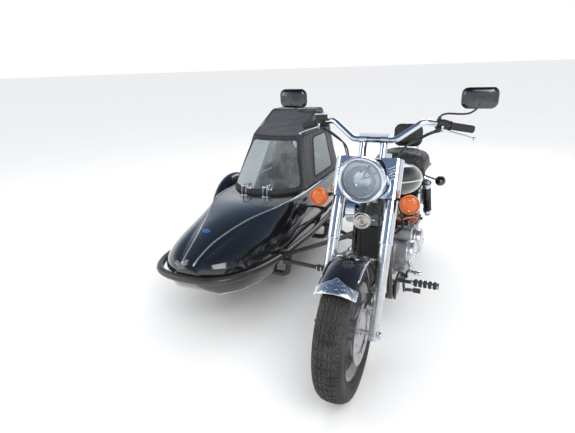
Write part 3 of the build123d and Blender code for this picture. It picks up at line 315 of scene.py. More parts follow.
def clearFinish(name, tint, haze, flutes=0.0):
    # a thin clear panel: mostly see-through, with gloss that grows at a slant
    f = Finish(name)
    slant = f.node("ShaderNodeFresnel", None, {"IOR": 1.5})
    dirt = f.ramp(f.noise(5, 6, 0.7), [(0.4, 0.0), (0.85, 1.0)])
    through = f.tree.nodes.new("ShaderNodeBsdfTransparent")
    through.inputs[0].default_value = (*tint, 1)
    f.shade(Base_Color=(0.75, 0.78, 0.8), Roughness=dirt * 0.1 + 0.04, Specular_IOR_Level=0.6)
    if flutes:
        ribs = f.waves(flutes, bands_direction="X")
        f.shade(Normal=f.bump(ribs, 0.6, 0.002))
        dirt = dirt + ribs * 0.25
    f.tree.links.remove(f.out.inputs[0].links[0])
    mixed = f.node("ShaderNodeMixShader", None, {0: slant * 0.9 + dirt * haze + 0.02})
    mixer = mixed.socket.node
    f.tree.links.new(through.outputs[0], mixer.inputs[1])
    f.tree.links.new(f.main.outputs[0], mixer.inputs[2])
    f.tree.links.new(mixed.socket, f.out.inputs[0])
    return f.material


def mirrorFinish(name):
    f = Finish(name)
    film = f.ramp(f.noise(12, 5, 0.7), [(0.5, 0.0), (0.85, 1.0)])
    f.shade(Base_Color=(0.86, 0.88, 0.9), Metallic=1.0, Roughness=film * 0.08 + 0.01)
    return f.material


def engravedFinish(name):
    # chrome with a fine scrolled pattern pressed in
    f = Finish(name)
    rings = f.node("ShaderNodeTexVoronoi", {"feature": "SMOOTH_F1"},
                   {"Vector": f.place(), "Scale": 60.0, "Smoothness": 0.4})
    scroll = f.waves(38.0, wave_type="RINGS", Distortion=9.0, Detail=1.0)
    cut = f.ramp(scroll * 0.6 + rings * 0.6, [(0.42, 0.0), (0.52, 1.0)])
    f.shade(Base_Color=f.blendTones(cut, (0.5, 0.5, 0.51), (0.82, 0.83, 0.85)), Metallic=1.0,
            Roughness=0.28 - cut * 0.18, Normal=f.bump(cut, 0.5, 0.001))
    return f.material


def enamelFinish(name):
    f = Finish(name)
    pool = f.noise(40, 3)
    f.shade(Base_Color=f.blendTones(pool, (0.01, 0.06, 0.3), (0.02, 0.09, 0.42)), Roughness=pool * 0.05 + 0.08,
            Coat_Weight=1.0, Normal=f.bump(pool, 0.05, 0.001))
    return f.material


def rustFinish(name):
    f = Finish(name)
    bite = f.ramp(f.noise(46, 8, 0.7), [(0.42, 0.0), (0.58, 1.0)])
    scale = f.noise(180, 4)
    f.shade(Base_Color=f.blendTones(bite, (0.03, 0.028, 0.027), (0.2, 0.075, 0.03)), Metallic=0.2,
            Roughness=bite * 0.35 + 0.5, Normal=f.bump(scale * 0.5 + bite * 0.5, 0.5, 0.0012))
    return f.material


finishRecipes = {
    "glossBlack": (paintFinish, (0.006, 0.006, 0.007), 0.1, 1.0, 0.5, 0.22),
    "frameBlack": (paintFinish, (0.012, 0.012, 0.013), 0.3, 0.3, 0.6, 0.5),
    "tankOlive": (paintFinish, (0.013, 0.014, 0.006), 0.08, 1.0, 0.3, 0.1),
    "radiatorBlack": (paintFinish, (0.012, 0.012, 0.012), 0.55, 0.0),
    "chrome": (chromeFinish,),
    "darkChrome": (chromeFinish, (0.06, 0.065, 0.075), 0.1, 0.0),
    "oldChrome": (chromeFinish, (0.5, 0.49, 0.47), 0.22, 1.0),
    "castAlloy": (alloyFinish, (0.56, 0.56, 0.57), 0.28),
    "polished": (alloyFinish, (0.74, 0.74, 0.75), 0.17, 300),
    "wheelAlloy": (alloyFinish, (0.5, 0.5, 0.51), 0.3, 400, 0.6),
    "discSteel": (brushedFinish, (0.5, 0.5, 0.51), frontAxle),
    "rearSteel": (brushedFinish, (0.45, 0.45, 0.46), middleOf("rear_tyre")),
    "tyreRubber": (rubberFinish, (0.022, 0.022, 0.023), 0.72, 0.55),
    "gripRubber": (rubberFinish, (0.03, 0.03, 0.031), 0.62, 0.15),
    "blackPlastic": (plasticFinish, (0.014, 0.014, 0.015), 0.38),
    "orangeLead": (plasticFinish, (0.55, 0.14, 0.035), 0.4),
    "leather": (leatherFinish, (0.014, 0.014, 0.015)),
    "canvas": (canvasFinish, (0.03, 0.032, 0.037)),
    "amber": (lensFinish, (0.62, 0.12, 0.004), 0.0),
    "lampGlass": (clearFinish, (0.93, 0.96, 0.98), 0.35, 34.0),
    "clear": (clearFinish, (0.86, 0.9, 0.91), 0.22),
    "vinyl": (clearFinish, (0.72, 0.77, 0.79), 0.35),
    "satinTrim": (wornFinish, ((26, 5, 0.65), 0.4, 0.75), ((0.62, 0.62, 0.6), (0.45, 0.44, 0.42)), (0.2, 0.22),
                  ((200, 3), 0.1, 0.0005), 1.0, 0.85),
    "canvasTape": (wornFinish, ((14, 5, 0.6), 0.35, 0.75), ((0.014, 0.015, 0.017), (0.04, 0.042, 0.047)),
                   (0.1, 0.6), ((500, 3), 0.35, 0.0005)),
    "mirrorGlass": (mirrorFinish,),
    "engravedChrome": (engravedFinish,),
    "blueEnamel": (enamelFinish,),
    "rusty": (rustFinish,),
}
finishes = {name: make(name, *values) for name, (make, *values) in finishRecipes.items()}

nodesOfFinish = {
    "chrome": "chair_rim fork_covers nacelle headlamp handlebar fender_tip air_cleaner exhaust tank_cap "
              "backrest_frame rear_dampers chair_trim hinge_posts hinge_arms",
    "frameBlack": "yokes horn frame swingarm footrests side_stand stand_bracket chair_frame",
    "glossBlack": "front_fender rear_fender side_covers chair_body chair_fender",
    "blackPlastic": "front_indicators hand_controls ignition_coils",
    "tyreRubber": "front_tyre rear_tyre chair_tyre",
    "leather": "saddle backrest chair_seat",
    "wheelAlloy": "front_rim rear_rim",
    "polished": "fork_sliders front_caliper",
    "castAlloy": "engine_cases cylinders",
    "darkChrome": "mirrors rear_lamps",
    "amber": "front_lenses rear_lenses",
    "discSteel": "front_disc",
    "rearSteel": "rear_discs",
    "gripRubber": "grips",
    "radiatorBlack": "radiator",
    "tankOlive": "fuel_tank",
    "lampGlass": "headlamp_glass",
    "canvas": "hood_canvas",
    "clear": "windscreen",
    "vinyl": "hood_windows",
}
for finish, nodes in nodesOfFinish.items():
    for node in nodes.split():
        mesh = frame["nodes"][node].data
        mesh.materials.clear()
        mesh.materials.append(finishes[finish])
print("finishes on the CAD nodes")


# mesh helpers
def addPiece(name, mesh, body, finish=None, slot=None, smooth=True):
    piece = bpy.data.objects.new(name, mesh)
    bpy.context.scene.collection.objects.link(piece)
    if finish:
        mesh.materials.clear()
        mesh.materials.append(finishes[finish])
    if smooth:
        for face in mesh.polygons:
            face.use_smooth = True
    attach(piece, body)
    return piece


def meshOf(name, points, faces):
    mesh = bpy.data.meshes.new(name)
    mesh.from_pydata([tuple(p) for p in points], [], faces)
    mesh.update()
    return mesh


def looseObject(name, mesh):
    piece = bpy.data.objects.new(name, mesh)
    bpy.context.scene.collection.objects.link(piece)
    return piece


def baked(piece):
    # the plain mesh that a loose object's modifiers make, the object taken away
    graph = bpy.context.evaluated_depsgraph_get()
    graph.update()
    mesh = bpy.data.meshes.new_from_object(piece.evaluated_get(graph))
    bpy.data.objects.remove(piece)
    return mesh


def applied(name, mesh, *modifiers):
    # a mesh with modifiers run on it, each a (kind, values) pair
    piece = looseObject(name, mesh)
    for kind, values in modifiers:
        added = piece.modifiers.new(kind.title(), kind)
        for key, value in values.items():
            setattr(added, key, value)
    return baked(piece)


def joined(name, meshes):
    work = bmesh.new()
    for mesh in meshes:
        work.from_mesh(mesh)
    whole = bpy.data.meshes.new(name)
    work.to_mesh(whole)
    work.free()
    return whole


def addJoined(name, meshes, *place, **more):
    # one piece made of several meshes
    return addPiece(name, joined(name, meshes), *place, **more)


def grid(rows, closedRows=False, closedCols=False):
    # faces over a list of equal rows of points
    points = [p for row in rows for p in row]
    wide, tall = len(rows[0]), len(rows)
    faces = []
    for i in range(tall if closedRows else tall - 1):
        for j in range(wide if closedCols else wide - 1):
            a, b = i * wide + j, i * wide + (j + 1) % wide
            c, d = ((i + 1) % tall) * wide + (j + 1) % wide, ((i + 1) % tall) * wide + j
            faces.append((a, b, c, d))
    return points, faces


def capped(rows):
    # faces over closed rows of points, and one on each end
    points, faces = grid(rows, closedCols=True)
    count = len(rows[0])
    last = len(points) - count
    return points, faces + [tuple(range(count)), tuple(last + k for k in reversed(range(count)))]


def surfaceOf(mesh):
    # what rays are cast on
    return BVHTree.FromPolygons([v.co for v in mesh.vertices], [tuple(f.vertices) for f in mesh.polygons])


def skinOf(node):
    return surfaceOf(frame["nodes"][node].data)


def sameWay(normal, way):
    # the normal or its opposite, whichever goes the way given
    return normal if normal.dot(way) > 0 else -normal


def runAt(line, k):
    # a line's direction at one of its points
    return (line[min(k + 1, len(line) - 1)] - line[max(k - 1, 0)]).normalized()


def tidy(mesh, merge=1e-5):
    # doubles merged and normals turned outwards
    work = bmesh.new()
    work.from_mesh(mesh)
    bmesh.ops.remove_doubles(work, verts=work.verts, dist=merge)
    bmesh.ops.recalc_face_normals(work, faces=work.faces)
    work.to_mesh(mesh)
    work.free()
    return mesh


def turned(name, profile, centre, axis, steps=48):
    # a closed turned form: profile is (along the axis, radius) pairs in metres
    axis = Vector(axis).normalized()
    side = axis.orthogonal().normalized()
    other = axis.cross(side)
    rows = []
    for step in range(steps):
        angle = 2 * math.pi * step / steps
        out = side * math.cos(angle) + other * math.sin(angle)
        rows.append([Vector(centre) + axis * along + out * radius for along, radius in profile])
    return tidy(meshOf(name, *grid(rows, closedRows=True)))


def tubeMesh(name, points, radius, sides=12, order=3, cap=True, resolution=8):
    # a round tube on a smooth curve through its control points
    curve = bpy.data.curves.new(name, "CURVE")
    curve.dimensions = "3D"
    spline = curve.splines.new("NURBS")
    spline.points.add(len(points) - 1)
    for point, place in zip(spline.points, points):
        point.co = (*place, 1)
    spline.order_u = min(order, len(points))
    spline.use_endpoint_u = True
    curve.resolution_u = resolution
    curve.bevel_depth = radius
    curve.bevel_resolution = max(1, sides // 4 - 1)
    curve.use_fill_caps = cap
    mesh = baked(looseObject(name, curve))
    bpy.data.curves.remove(curve)
    return tidy(mesh)


def plate(name, outline, origin, across, up, depth, bevel=0.0, segments=2):
    # an outline in two directions, given depth along their cross product, edges rounded
    across, up = Vector(across).normalized(), Vector(up).normalized()
    out = across.cross(up)
    front = [Vector(origin) + across * a + up * b for a, b in outline]
    back = [p - out * depth for p in front]
    count = len(front)
    faces = [tuple(range(count)), tuple(range(2 * count - 1, count - 1, -1))]
    faces += [(i, i + count, (i + 1) % count + count, (i + 1) % count) for i in range(count)]
    mesh = tidy(meshOf(name, front + back, faces))
    if not bevel:
        return mesh
    return applied(
        name, mesh,
        ("BEVEL", {"width": bevel, "segments": segments, "limit_method": "ANGLE", "angle_limit": 0.7}),
    )


def roundedOutline(wide, tall, corner, steps=5):
    # a rectangle with round corners, anticlockwise
    points = []
    for cx, cy, start in ((1, 1, 0), (-1, 1, 90), (-1, -1, 180), (1, -1, 270)):
        for step in range(steps + 1):
            angle = math.radians(start + 90 * step / steps)
            points.append((cx * (wide / 2 - corner) + corner * math.cos(angle),
                           cy * (tall / 2 - corner) + corner * math.sin(angle)))
    return points


# repeats by Geometry Nodes
def newTree(name, inputs):
    tree = bpy.data.node_groups.new(name, "GeometryNodeTree")
    tree.interface.new_socket("Geometry", in_out="INPUT", socket_type="NodeSocketGeometry")
    for label, kind in inputs:
        tree.interface.new_socket(label, in_out="INPUT", socket_type=kind)
    tree.interface.new_socket("Geometry", in_out="OUTPUT", socket_type="NodeSocketGeometry")
    return tree, tree.nodes.new("NodeGroupInput"), tree.nodes.new("NodeGroupOutput")


def addNode(tree, kind, **values):
    made = tree.nodes.new(kind)
    for key, value in values.items():
        setattr(made, key, value)
    return made


def placeParts(tree, given, end, label, points, turns):
    # the labelled object on every point, made real and given its finish
    pick = addNode(tree, "GeometryNodeObjectInfo")
    place = addNode(tree, "GeometryNodeInstanceOnPoints")
    whole = addNode(tree, "GeometryNodeRealizeInstances")
    coat = addNode(tree, "GeometryNodeSetMaterial")
    for output, socket in (
        (given.outputs[label], pick.inputs[0]), (points, place.inputs["Points"]),
        (pick.outputs["Geometry"], place.inputs["Instance"]), (turns, place.inputs["Rotation"]),
        (place.outputs[0], whole.inputs[0]), (whole.outputs[0], coat.inputs[0]),
        (given.outputs["Finish"], coat.inputs["Material"]), (coat.outputs[0], end.inputs[0]),
    ):
        tree.links.new(output, socket)
    return place


def wheelRepeatTree():
    # copies one pitch of a pattern round an axle that runs along x
    tree, given, end = newTree("roundTheWheel", [
        ("Pitch", "NodeSocketObject"), ("Count", "NodeSocketInt"), ("Centre", "NodeSocketVector"),
        ("Finish", "NodeSocketMaterial"),
    ])
    line = addNode(tree, "GeometryNodeMeshLine", mode="OFFSET")
    tree.links.new(given.outputs["Count"], line.inputs["Count"])
    tree.links.new(given.outputs["Centre"], line.inputs["Start Location"])
    line.inputs["Offset"].default_value = (0, 0, 0)
    index = addNode(tree, "GeometryNodeInputIndex")
    turn = addNode(tree, "ShaderNodeMath", operation="DIVIDE")
    tree.links.new(index.outputs[0], turn.inputs[0])
    tree.links.new(given.outputs["Count"], turn.inputs[1])
    full = addNode(tree, "ShaderNodeMath", operation="MULTIPLY")
    full.inputs[1].default_value = 2 * math.pi
    tree.links.new(turn.outputs[0], full.inputs[0])
    angles = addNode(tree, "ShaderNodeCombineXYZ")
    tree.links.new(full.outputs[0], angles.inputs[0])
    placeParts(tree, given, end, "Pitch", line.outputs[0], angles.outputs[0])
    return tree


def studTree():
    # a small part on every point, its z turned to the point's stored direction
    tree, given, end = newTree("partOnPoints", [
        ("Part", "NodeSocketObject"), ("Size", "NodeSocketFloat"), ("Finish", "NodeSocketMaterial"),
    ])
    facing = addNode(tree, "GeometryNodeInputNamedAttribute", data_type="FLOAT_VECTOR")
    facing.inputs[0].default_value = "facing"
    aim = addNode(tree, "FunctionNodeAlignEulerToVector", axis="Z")
    tree.links.new(facing.outputs[0], aim.inputs["Vector"])
    place = placeParts(tree, given, end, "Part", given.outputs["Geometry"], aim.outputs[0])
    tree.links.new(given.outputs["Size"], place.inputs["Scale"])
    return tree


def threadTree():
    # a small part at equal steps along a path, its z turned along the path
    tree, given, end = newTree("partAlongPath", [
        ("Part", "NodeSocketObject"), ("Step", "NodeSocketFloat"), ("Finish", "NodeSocketMaterial"),
    ])
    path = addNode(tree, "GeometryNodeMeshToCurve")
    even = addNode(tree, "GeometryNodeCurveToPoints", mode="LENGTH")
    tree.links.new(given.outputs["Geometry"], path.inputs[0])
    tree.links.new(path.outputs[0], even.inputs[0])
    tree.links.new(given.outputs["Step"], even.inputs["Length"])
    aim = addNode(tree, "FunctionNodeAlignEulerToVector", axis="Z")
    tree.links.new(even.outputs["Tangent"], aim.inputs["Vector"])
    placeParts(tree, given, end, "Part", even.outputs[0], aim.outputs[0])
    return tree


trees = {"wheel": wheelRepeatTree(), "points": studTree(), "path": threadTree()}


def grown(name, base, tree, values):
    # the plain mesh that a tree makes of a base mesh, its inputs set by identifier
    piece = looseObject(name, base)
    added = piece.modifiers.new("Nodes", "NODES")
    added.node_group = trees[tree]
    for item in trees[tree].interface.items_tree:
        if item.in_out == "INPUT" and item.name in values:
            added[item.identifier] = values[item.name]
    return baked(piece)


def hexHead(radius, tall):
    outline = [(radius * math.cos(math.radians(60 * k)), radius * math.sin(math.radians(60 * k))) for k in range(6)]
    return plate("hexHead", outline, (0, 0, tall), (1, 0, 0), (0, 1, 0), tall, radius * 0.12, 1)


def domeHead(radius, tall):
    profile = [(0, 0), (0, radius), (tall * 0.5, radius * 0.92), (tall, radius * 0.55), (tall, radius * 0.3),
               (tall * 0.6, radius * 0.28), (tall * 0.6, 0)]
    return turned("domeHead", profile, (0, 0, 0), (0, 0, 1), 12)


smallParts = {}
for partName, partMesh in (("hex", hexHead(1.0, 0.8)), ("dome", domeHead(1.0, 0.7))):
    smallParts[partName] = looseObject(partName, partMesh)


def fasteners(name, spots, body, size, kind="hex", finish="chrome", slot="chrome"):
    # spots are (point, direction) pairs
    base = meshOf(name, [p for p, _ in spots], [])
    facing = base.attributes.new("facing", "FLOAT_VECTOR", "POINT")
    for item, (_, direction) in zip(facing.data, spots):
        item.vector = Vector(direction).normalized()
    mesh = grown(name, base, "points", {"Part": smallParts[kind], "Size": size, "Finish": finishes[finish]})
    return addPiece(name, mesh, body, None, slot, smooth=False)


def stitchPart(length, radius):
    profile = [(-length / 2, 0), (-length * 0.3, radius), (length * 0.3, radius), (length / 2, 0)]
    return turned("stitch", profile, (0, 0, 0), (0, 0, 1), 6)


smallParts["stitch"] = looseObject("stitch", stitchPart(0.0055, 0.0009))


def stitchLine(name, lines, body, step=0.008, finish="leather", slot="black_leather"):
    points, edges = [], []
    for line in lines:
        start = len(points)
        points += [tuple(p) for p in line]
        edges += [(start + k, start + k + 1) for k in range(len(line) - 1)]
    base = bpy.data.meshes.new(name)
    base.from_pydata(points, edges, [])
    mesh = grown(name, base, "path", {"Part": smallParts["stitch"], "Step": step, "Finish": finishes[finish]})
    return addPiece(name, mesh, body, None, slot)


# tyres
tyreLook = {
    "blockDepth": 0.0045, "clearance": 0.0006, "sideClearance": 0.0008, "steps": 96,
    "rims": {"front_tyre": 0.219, "rear_tyre": 0.206, "chair_tyre": 0.216},
    # place across and width of each rib row, as shares of the half width
    "ribs": ((0.0, 0.16), (0.245, 0.155), (0.485, 0.16)), "shoulder": (0.62, 0.86),
}


def tyrePoint(centre, across, reach, angle):
    # a point at some reach from the axle, turned by an angle from the top
    return centre + Vector((across, -reach * math.sin(angle), reach * math.cos(angle)))


def makeTyre(name, node, count, zigzag):
    low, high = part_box(node)
    centre = (Vector(low) + Vector(high)) / 2
    wide = (high[0] - low[0]) / 2 - tyreLook["sideClearance"]
    outer = (high[2] - low[2]) / 2 - tyreLook["clearance"]
    skin = outer - tyreLook["blockDepth"]
    rim = tyreLook["rims"][node]
    # carcass section from one bead over the crown to the other
    bulge = wide * 0.985
    ridge = (rim + outer) / 2
    half = [
        (wide * 0.66, rim), (wide * 0.74, rim + 0.004), (wide * 0.8, rim + 0.006), (wide * 0.9, rim + 0.02),
        (bulge * 0.985, ridge - 0.012), (bulge, ridge), (bulge * 0.995, ridge + 0.012),
        (bulge * 0.96, ridge + 0.026),
        (wide * 0.88, outer - 0.021), (wide * 0.78, outer - 0.0135), (wide * 0.6, skin - 0.0042),
        (wide * 0.4, skin - 0.0018), (wide * 0.2, skin - 0.0005),
    ]
    section = half + [(0, skin)] + [(-x, r) for x, r in reversed(half)]
    carcass, steps = [], tyreLook["steps"]
    for k in range(steps):
        carcass.append([tyrePoint(centre, x, r, 2 * math.pi * k / steps) for x, r in section])
    body = tidy(meshOf(name, *grid(carcass, closedRows=True)))
    # raised bands on the side walls
    bands = []
    for side in (-1, 1):
        for reach, stand in ((ridge - 0.02, 0.0012), (ridge + 0.018, 0.0012), (rim + 0.013, 0.0016)):
            wall = next(x for x, r in half if r >= reach - 0.004)
            profile = [(side * (wall - 0.002), reach - 0.0035), (side * (wall + stand), reach - 0.002),
                       (side * (wall + stand), reach + 0.002), (side * (wall - 0.002), reach + 0.0035)]
            bands.append(turned("band", profile, centre, (1, 0, 0), 72))
    # one pitch of tread: zig-zag centre ribs, shoulder blocks
    span = 2 * math.pi / count
    meshes = []

    def crown(across, stand):
        share = abs(across) / wide
        fall = 0.0005 + 0.022 * max(0.0, share - 0.12) ** 2.1 + 0.06 * max(0.0, share - 0.62) ** 2
        return outer - fall - (0 if stand else tyreLook["blockDepth"] + 0.002)

    def block(corners):
        top = [tyrePoint(Vector((0, 0, 0)), x, crown(x, True), a) for x, a in corners]
        foot = [tyrePoint(Vector((0, 0, 0)), x * 1.01, crown(x, False), a) for x, a in corners]
        around = len(corners)
        faces = [tuple(range(around))]
        faces += [(i, i + around, (i + 1) % around + around, (i + 1) % around) for i in range(around)]
        mesh = meshOf("block", top + foot, faces)
        work = bmesh.new()
        work.from_mesh(mesh)
        bmesh.ops.recalc_face_normals(work, faces=work.faces)
        work.to_mesh(mesh)
        work.free()
        meshes.append(mesh)

    for place, share in tyreLook["ribs"]:
        for side in ((1,) if place == 0 else (-1, 1)):
            middle, halfWide, lean = side * place * wide, share * wide * 0.5, side * zigzag
            gap = 0.09 * span
            a0, a1, mid = gap, span - gap, span / 2
            block([(middle - halfWide, a0), (middle + halfWide * 0.7, a0 + gap), (middle + halfWide + lean, mid),
                   (middle + halfWide * 0.7, a1), (middle - halfWide, a1 + gap * 0.6),
                   (middle - halfWide + lean, mid)])
    for side in (-1, 1):
        inner, edge = (share * wide for share in tyreLook["shoulder"])
        for start in (0.04, 0.54):
            a0, a1 = span * start, span * (start + 0.38)
            block([(side * inner, a0), (side * edge, a0 + 0.1 * span), (side * edge, a1 + 0.1 * span),
                   (side * inner, a1)])
    pitch = looseObject("pitch", joined("pitch", meshes))
    seed = meshOf("seed", [(0, 0, 0)], [])
    tread = grown("tread", seed, "wheel", {
        "Pitch": pitch, "Count": count, "Centre": tuple(centre), "Finish": finishes["tyreRubber"],
    })
    bpy.data.objects.remove(pitch)
    whole = joined(name, [body, tread] + bands)
    piece = addPiece(name, whole, bodyOfNode[node], "tyreRubber", "tyre", smooth=False)
    for face in whole.polygons[:len(body.polygons)]:
        face.use_smooth = True
    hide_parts(node)


bodyOfNode = {node: body for body, nodes in frame["record"]["behaviour"]["bodies"].items() for node in nodes}
makeTyre("frontTyre", "front_tyre", 54, 0.006)
makeTyre("rearTyre", "rear_tyre", 50, 0.007)
makeTyre("chairTyre", "chair_tyre", 50, 0.005)
print("tyres made")


# padding
swellFrames = 16


def puffed(name, source, look):
    # a padded piece: a remeshed copy of the solid, inflated as cloth, with its swelling capped
    copy = source.data.copy()
    work = bmesh.new()
    work.from_mesh(copy)
    bmesh.ops.remove_doubles(work, verts=work.verts, dist=1e-5)
    bmesh.ops.recalc_face_normals(work, faces=work.faces)
    for vertex in work.verts:
        vertex.co -= vertex.normal * look["shrink"]
    work.to_mesh(copy)
    work.free()
    base = applied(name, copy, ("REMESH", {"mode": "VOXEL", "voxel_size": look["voxel"]}))
    before = [v.co.copy() for v in base.vertices]
    piece = looseObject(name, base)
    cloth = piece.modifiers.new("Cloth", "CLOTH")
    cloth.settings.use_pressure = True
    cloth.settings.uniform_pressure_force = look["pressure"]
    cloth.settings.effector_weights.gravity = 0
    cloth.settings.quality = 4
    cloth.point_cache.frame_start, cloth.point_cache.frame_end = 1, swellFrames
    for step in range(1, swellFrames + 1):
        bpy.context.scene.frame_set(step)
    graph = bpy.context.evaluated_depsgraph_get()
    mesh = bpy.data.meshes.new_from_object(piece.evaluated_get(graph))
    bpy.data.objects.remove(piece)
    bpy.context.scene.frame_set(1)
    for vertex, start in zip(mesh.vertices, before):
        move = vertex.co - start
        if move.length > look["cap"]:
            vertex.co = start + move.normalized() * look["cap"]
    base = mesh
    smoothing = ("SMOOTH", {"factor": 0.5, "iterations": 6})
    return applied(name, base, smoothing, ("SUBSURF", {"levels": 1, "render_levels": 1}))


# headlamp
lampLook = {"place": (0, 195, 958), "radius": 97, "visorReach": 20, "visorSpan": 62}


def makeHeadlamp():
    centre = at(*lampLook["place"])
    back = (0, 1, 0)
    r = lampLook["radius"] / 1000
    bowl = [(0.012, r - 0.011), (0.024, r - 0.019), (0.042, r - 0.038), (0.054, r - 0.062), (0.06, 0.014),
            (0.06, 0.0)]
    addPiece("lampReflector", turned("lampReflector", bowl, centre, back, 64), "steering", "chrome", "chrome")
    bulb = [(0.028, 0), (0.03, 0.006), (0.036, 0.009), (0.046, 0.009), (0.05, 0.006), (0.058, 0.006), (0.058, 0)]
    addPiece("lampBulb", turned("lampBulb", bulb, centre, back, 24), "steering", "lampGlass", "lamp_glass")
    rim = [(-0.006, r - 0.008), (-0.011, r - 0.004), (-0.0125, r + 0.001), (-0.011, r + 0.006),
           (-0.005, r + 0.0095),
           (0.008, r + 0.0105), (0.024, r + 0.0085), (0.026, r + 0.006), (0.022, r + 0.0045), (0.0, r + 0.0045),
           (-0.004, r - 0.007)]
    addPiece("lampRim", turned("lampRim", rim + rim[:1], centre, back, 96), "steering", "chrome", "chrome")
    # peak over the upper half of the lens
    outer, steps = [], 36
    for k in range(steps + 1):
        share = 2 * k / steps - 1
        angle = math.radians(lampLook["visorSpan"]) * share
        reach = lampLook["visorReach"] / 1000 * max(0.0, math.cos(share * math.pi / 2)) ** 0.7
        row = []
        for t in (0.0, 0.35, 0.7, 1.0):
            d = r + 0.0098 - 0.004 * t * t
            row.append(centre + Vector((math.sin(angle) * d, -0.006 - reach * t, math.cos(angle) * d)))
        outer.append(row)
    mesh = applied("lampVisor", meshOf("lampVisor", *grid(outer)), ("SOLIDIFY", {"thickness": 0.0022, "offset": 0}),
                   ("BEVEL", {"width": 0.0006, "segments": 2}))
    addPiece("lampVisor", mesh, "steering", "chrome", "chrome")
    fasteners("lampScrews", [(centre + Vector((0, -0.0125, -r - 0.002)), (0, -1, 0))], "steering", 0.0042, "dome")


# mirrors
mirrorLook = {
    "place": (443, 489, 1285), "wide": 152, "tall": 94, "corner": 30, "stem": 4.6,
    # scale of the outline and depth of each ring of the back
    "rings": ((0.93, -0.0165), (0.97, -0.0175), (1.0, -0.0155), (1.0, -0.010), (0.975, 0.0), (0.9, 0.008),
              (0.74, 0.0145), (0.5, 0.018), (0.2, 0.0195)),
}
gripEnd, barShoulder = Vector((424, 605, 1134)), Vector((215, 478, 1182))
barRun = (gripEnd - barShoulder).normalized()


def onBar(side, back, ahead=0.0, up=0.0):
    # millimetres back along the handlebar from its end
    p = gripEnd - barRun * back
    return at(side * p.x, p.y - ahead, p.z + up)


def makeMirrors():
    heads, faces, stems = [], [], []
    for side in (-1, 1):
        place = mirrorLook["place"]
        middle = at(side * place[0], *place[1:])
        across, up = Vector((1, side * 0.12, 0)).normalized(), Vector((0, -0.06, 1)).normalized()
        out = across.cross(up)
        outline = roundedOutline(*(mirrorLook[k] / 1000 for k in ("wide", "tall", "corner")), 8)
        rows = []
        for scale, deep in mirrorLook["rings"]:
            rows.append([middle + across * (a * scale) + up * (b * scale) + out * deep for a, b in outline])
        points, quads = grid(rows, closedCols=True)
        count = len(outline)
        points.append(middle + out * 0.0198)
        last = (len(rows) - 1) * count
        quads += [(last + k, last + (k + 1) % count, len(points) - 1) for k in range(count)]
        heads.append(tidy(meshOf("head", points, quads)))
        glass = [(a * 0.93, b * 0.93) for a, b in outline]
        faces.append(plate("face", glass, middle - out * 0.0155, across, up, 0.002))
        foot = onBar(side, 172, 0, 22)
        path = [foot, foot + Vector((0, -0.002, 0.03))]
        for x, y, z in ((side * -0.045, 0.004, -0.072), (side * -0.012, 0.004, -0.05), (0, 0, -0.03), (0, 0, 0)):
            path.append(middle + Vector((x, y, z)))
        stems.append(tubeMesh("stem", path, mirrorLook["stem"] / 1000, 12))
        stems.append(turned("nut", [(0, 0), (0, 0.0085), (0.014, 0.0085), (0.017, 0.006), (0.017, 0)],
                            foot - Vector((0, 0, 0.004)), (0, 0, 1), 6))
        stems.append(turned("boss", [(-0.006, 0), (-0.006, 0.009), (0.01, 0.0075), (0.013, 0)],
                            middle + out * 0.008 + Vector((0, 0, -0.022)), out, 20))
    heads = addJoined("mirrorHeads", heads + stems, "steering", "darkChrome", "chrome")
    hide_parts("mirrors")
    addJoined("mirrorFaces", faces, "steering", "mirrorGlass", "chrome", smooth=False)


# grips and hand controls
controlLook = {
    "gripRadius": 0.018, "ribs": 15,
    # along the bar from its end, ahead of it and above it
    "lever": ((158, 40, -13), (130, 47, -17), (90, 53, -21), (50, 53, -25), (10, 48, -31), (-14, 44, -34)),
    "leverWide": ((0, 0.02), (0.12, 0.013), (0.6, 0.012), (0.92, 0.0085), (1, 0.0085)),
    "leverTall": ((0, 0.012), (0.12, 0.0095), (0.6, 0.0085), (0.92, 0.0075), (1, 0.0075)),
    "buttons": ((0.012, 0.009), (0.026, 0.012), (0.042, 0.008)),
}


def sweptBar(name, line, widths, heights, up=(0, 0, 1), sides=14):
    # a bar of changing oval section through a line of points
    rows = []
    for k, point in enumerate(line):
        run = runAt(line, k)
        side = run.cross(Vector(up)).normalized()
        over = side.cross(run)
        row = []
        for s in range(sides):
            angle = 2 * math.pi * s / sides
            out, rise = widths[k] / 2 * math.cos(angle), heights[k] / 2 * math.sin(angle)
            row.append(point + side * out + over * rise)
        rows.append(row)
    return tidy(meshOf(name, *capped(rows)))


def smoothLine(points, steps=6):
    # a Catmull-Rom line through the points
    line = []
    for k in range(len(points) - 1):
        a, b, c, d = points[max(k - 1, 0)], points[k], points[k + 1], points[min(k + 2, len(points) - 1)]
        for s in range(steps):
            t = s / steps
            bend, twist = 2 * a - 5 * b + 4 * c - d, 3 * b - a - 3 * c + d
            line.append(0.5 * ((2 * b) + (c - a) * t + bend * t * t + twist * t ** 3))
    return line + [points[-1]]


def taper(count, *stops):
    # widths along a line, straight between (share, width) stops
    values = []
    for k in range(count):
        share = k / (count - 1)
        for (s0, w0), (s1, w1) in zip(stops, stops[1:]):
            if s0 <= share <= s1:
                values.append(w0 + (w1 - w0) * (share - s0) / (s1 - s0))
                break
    return values


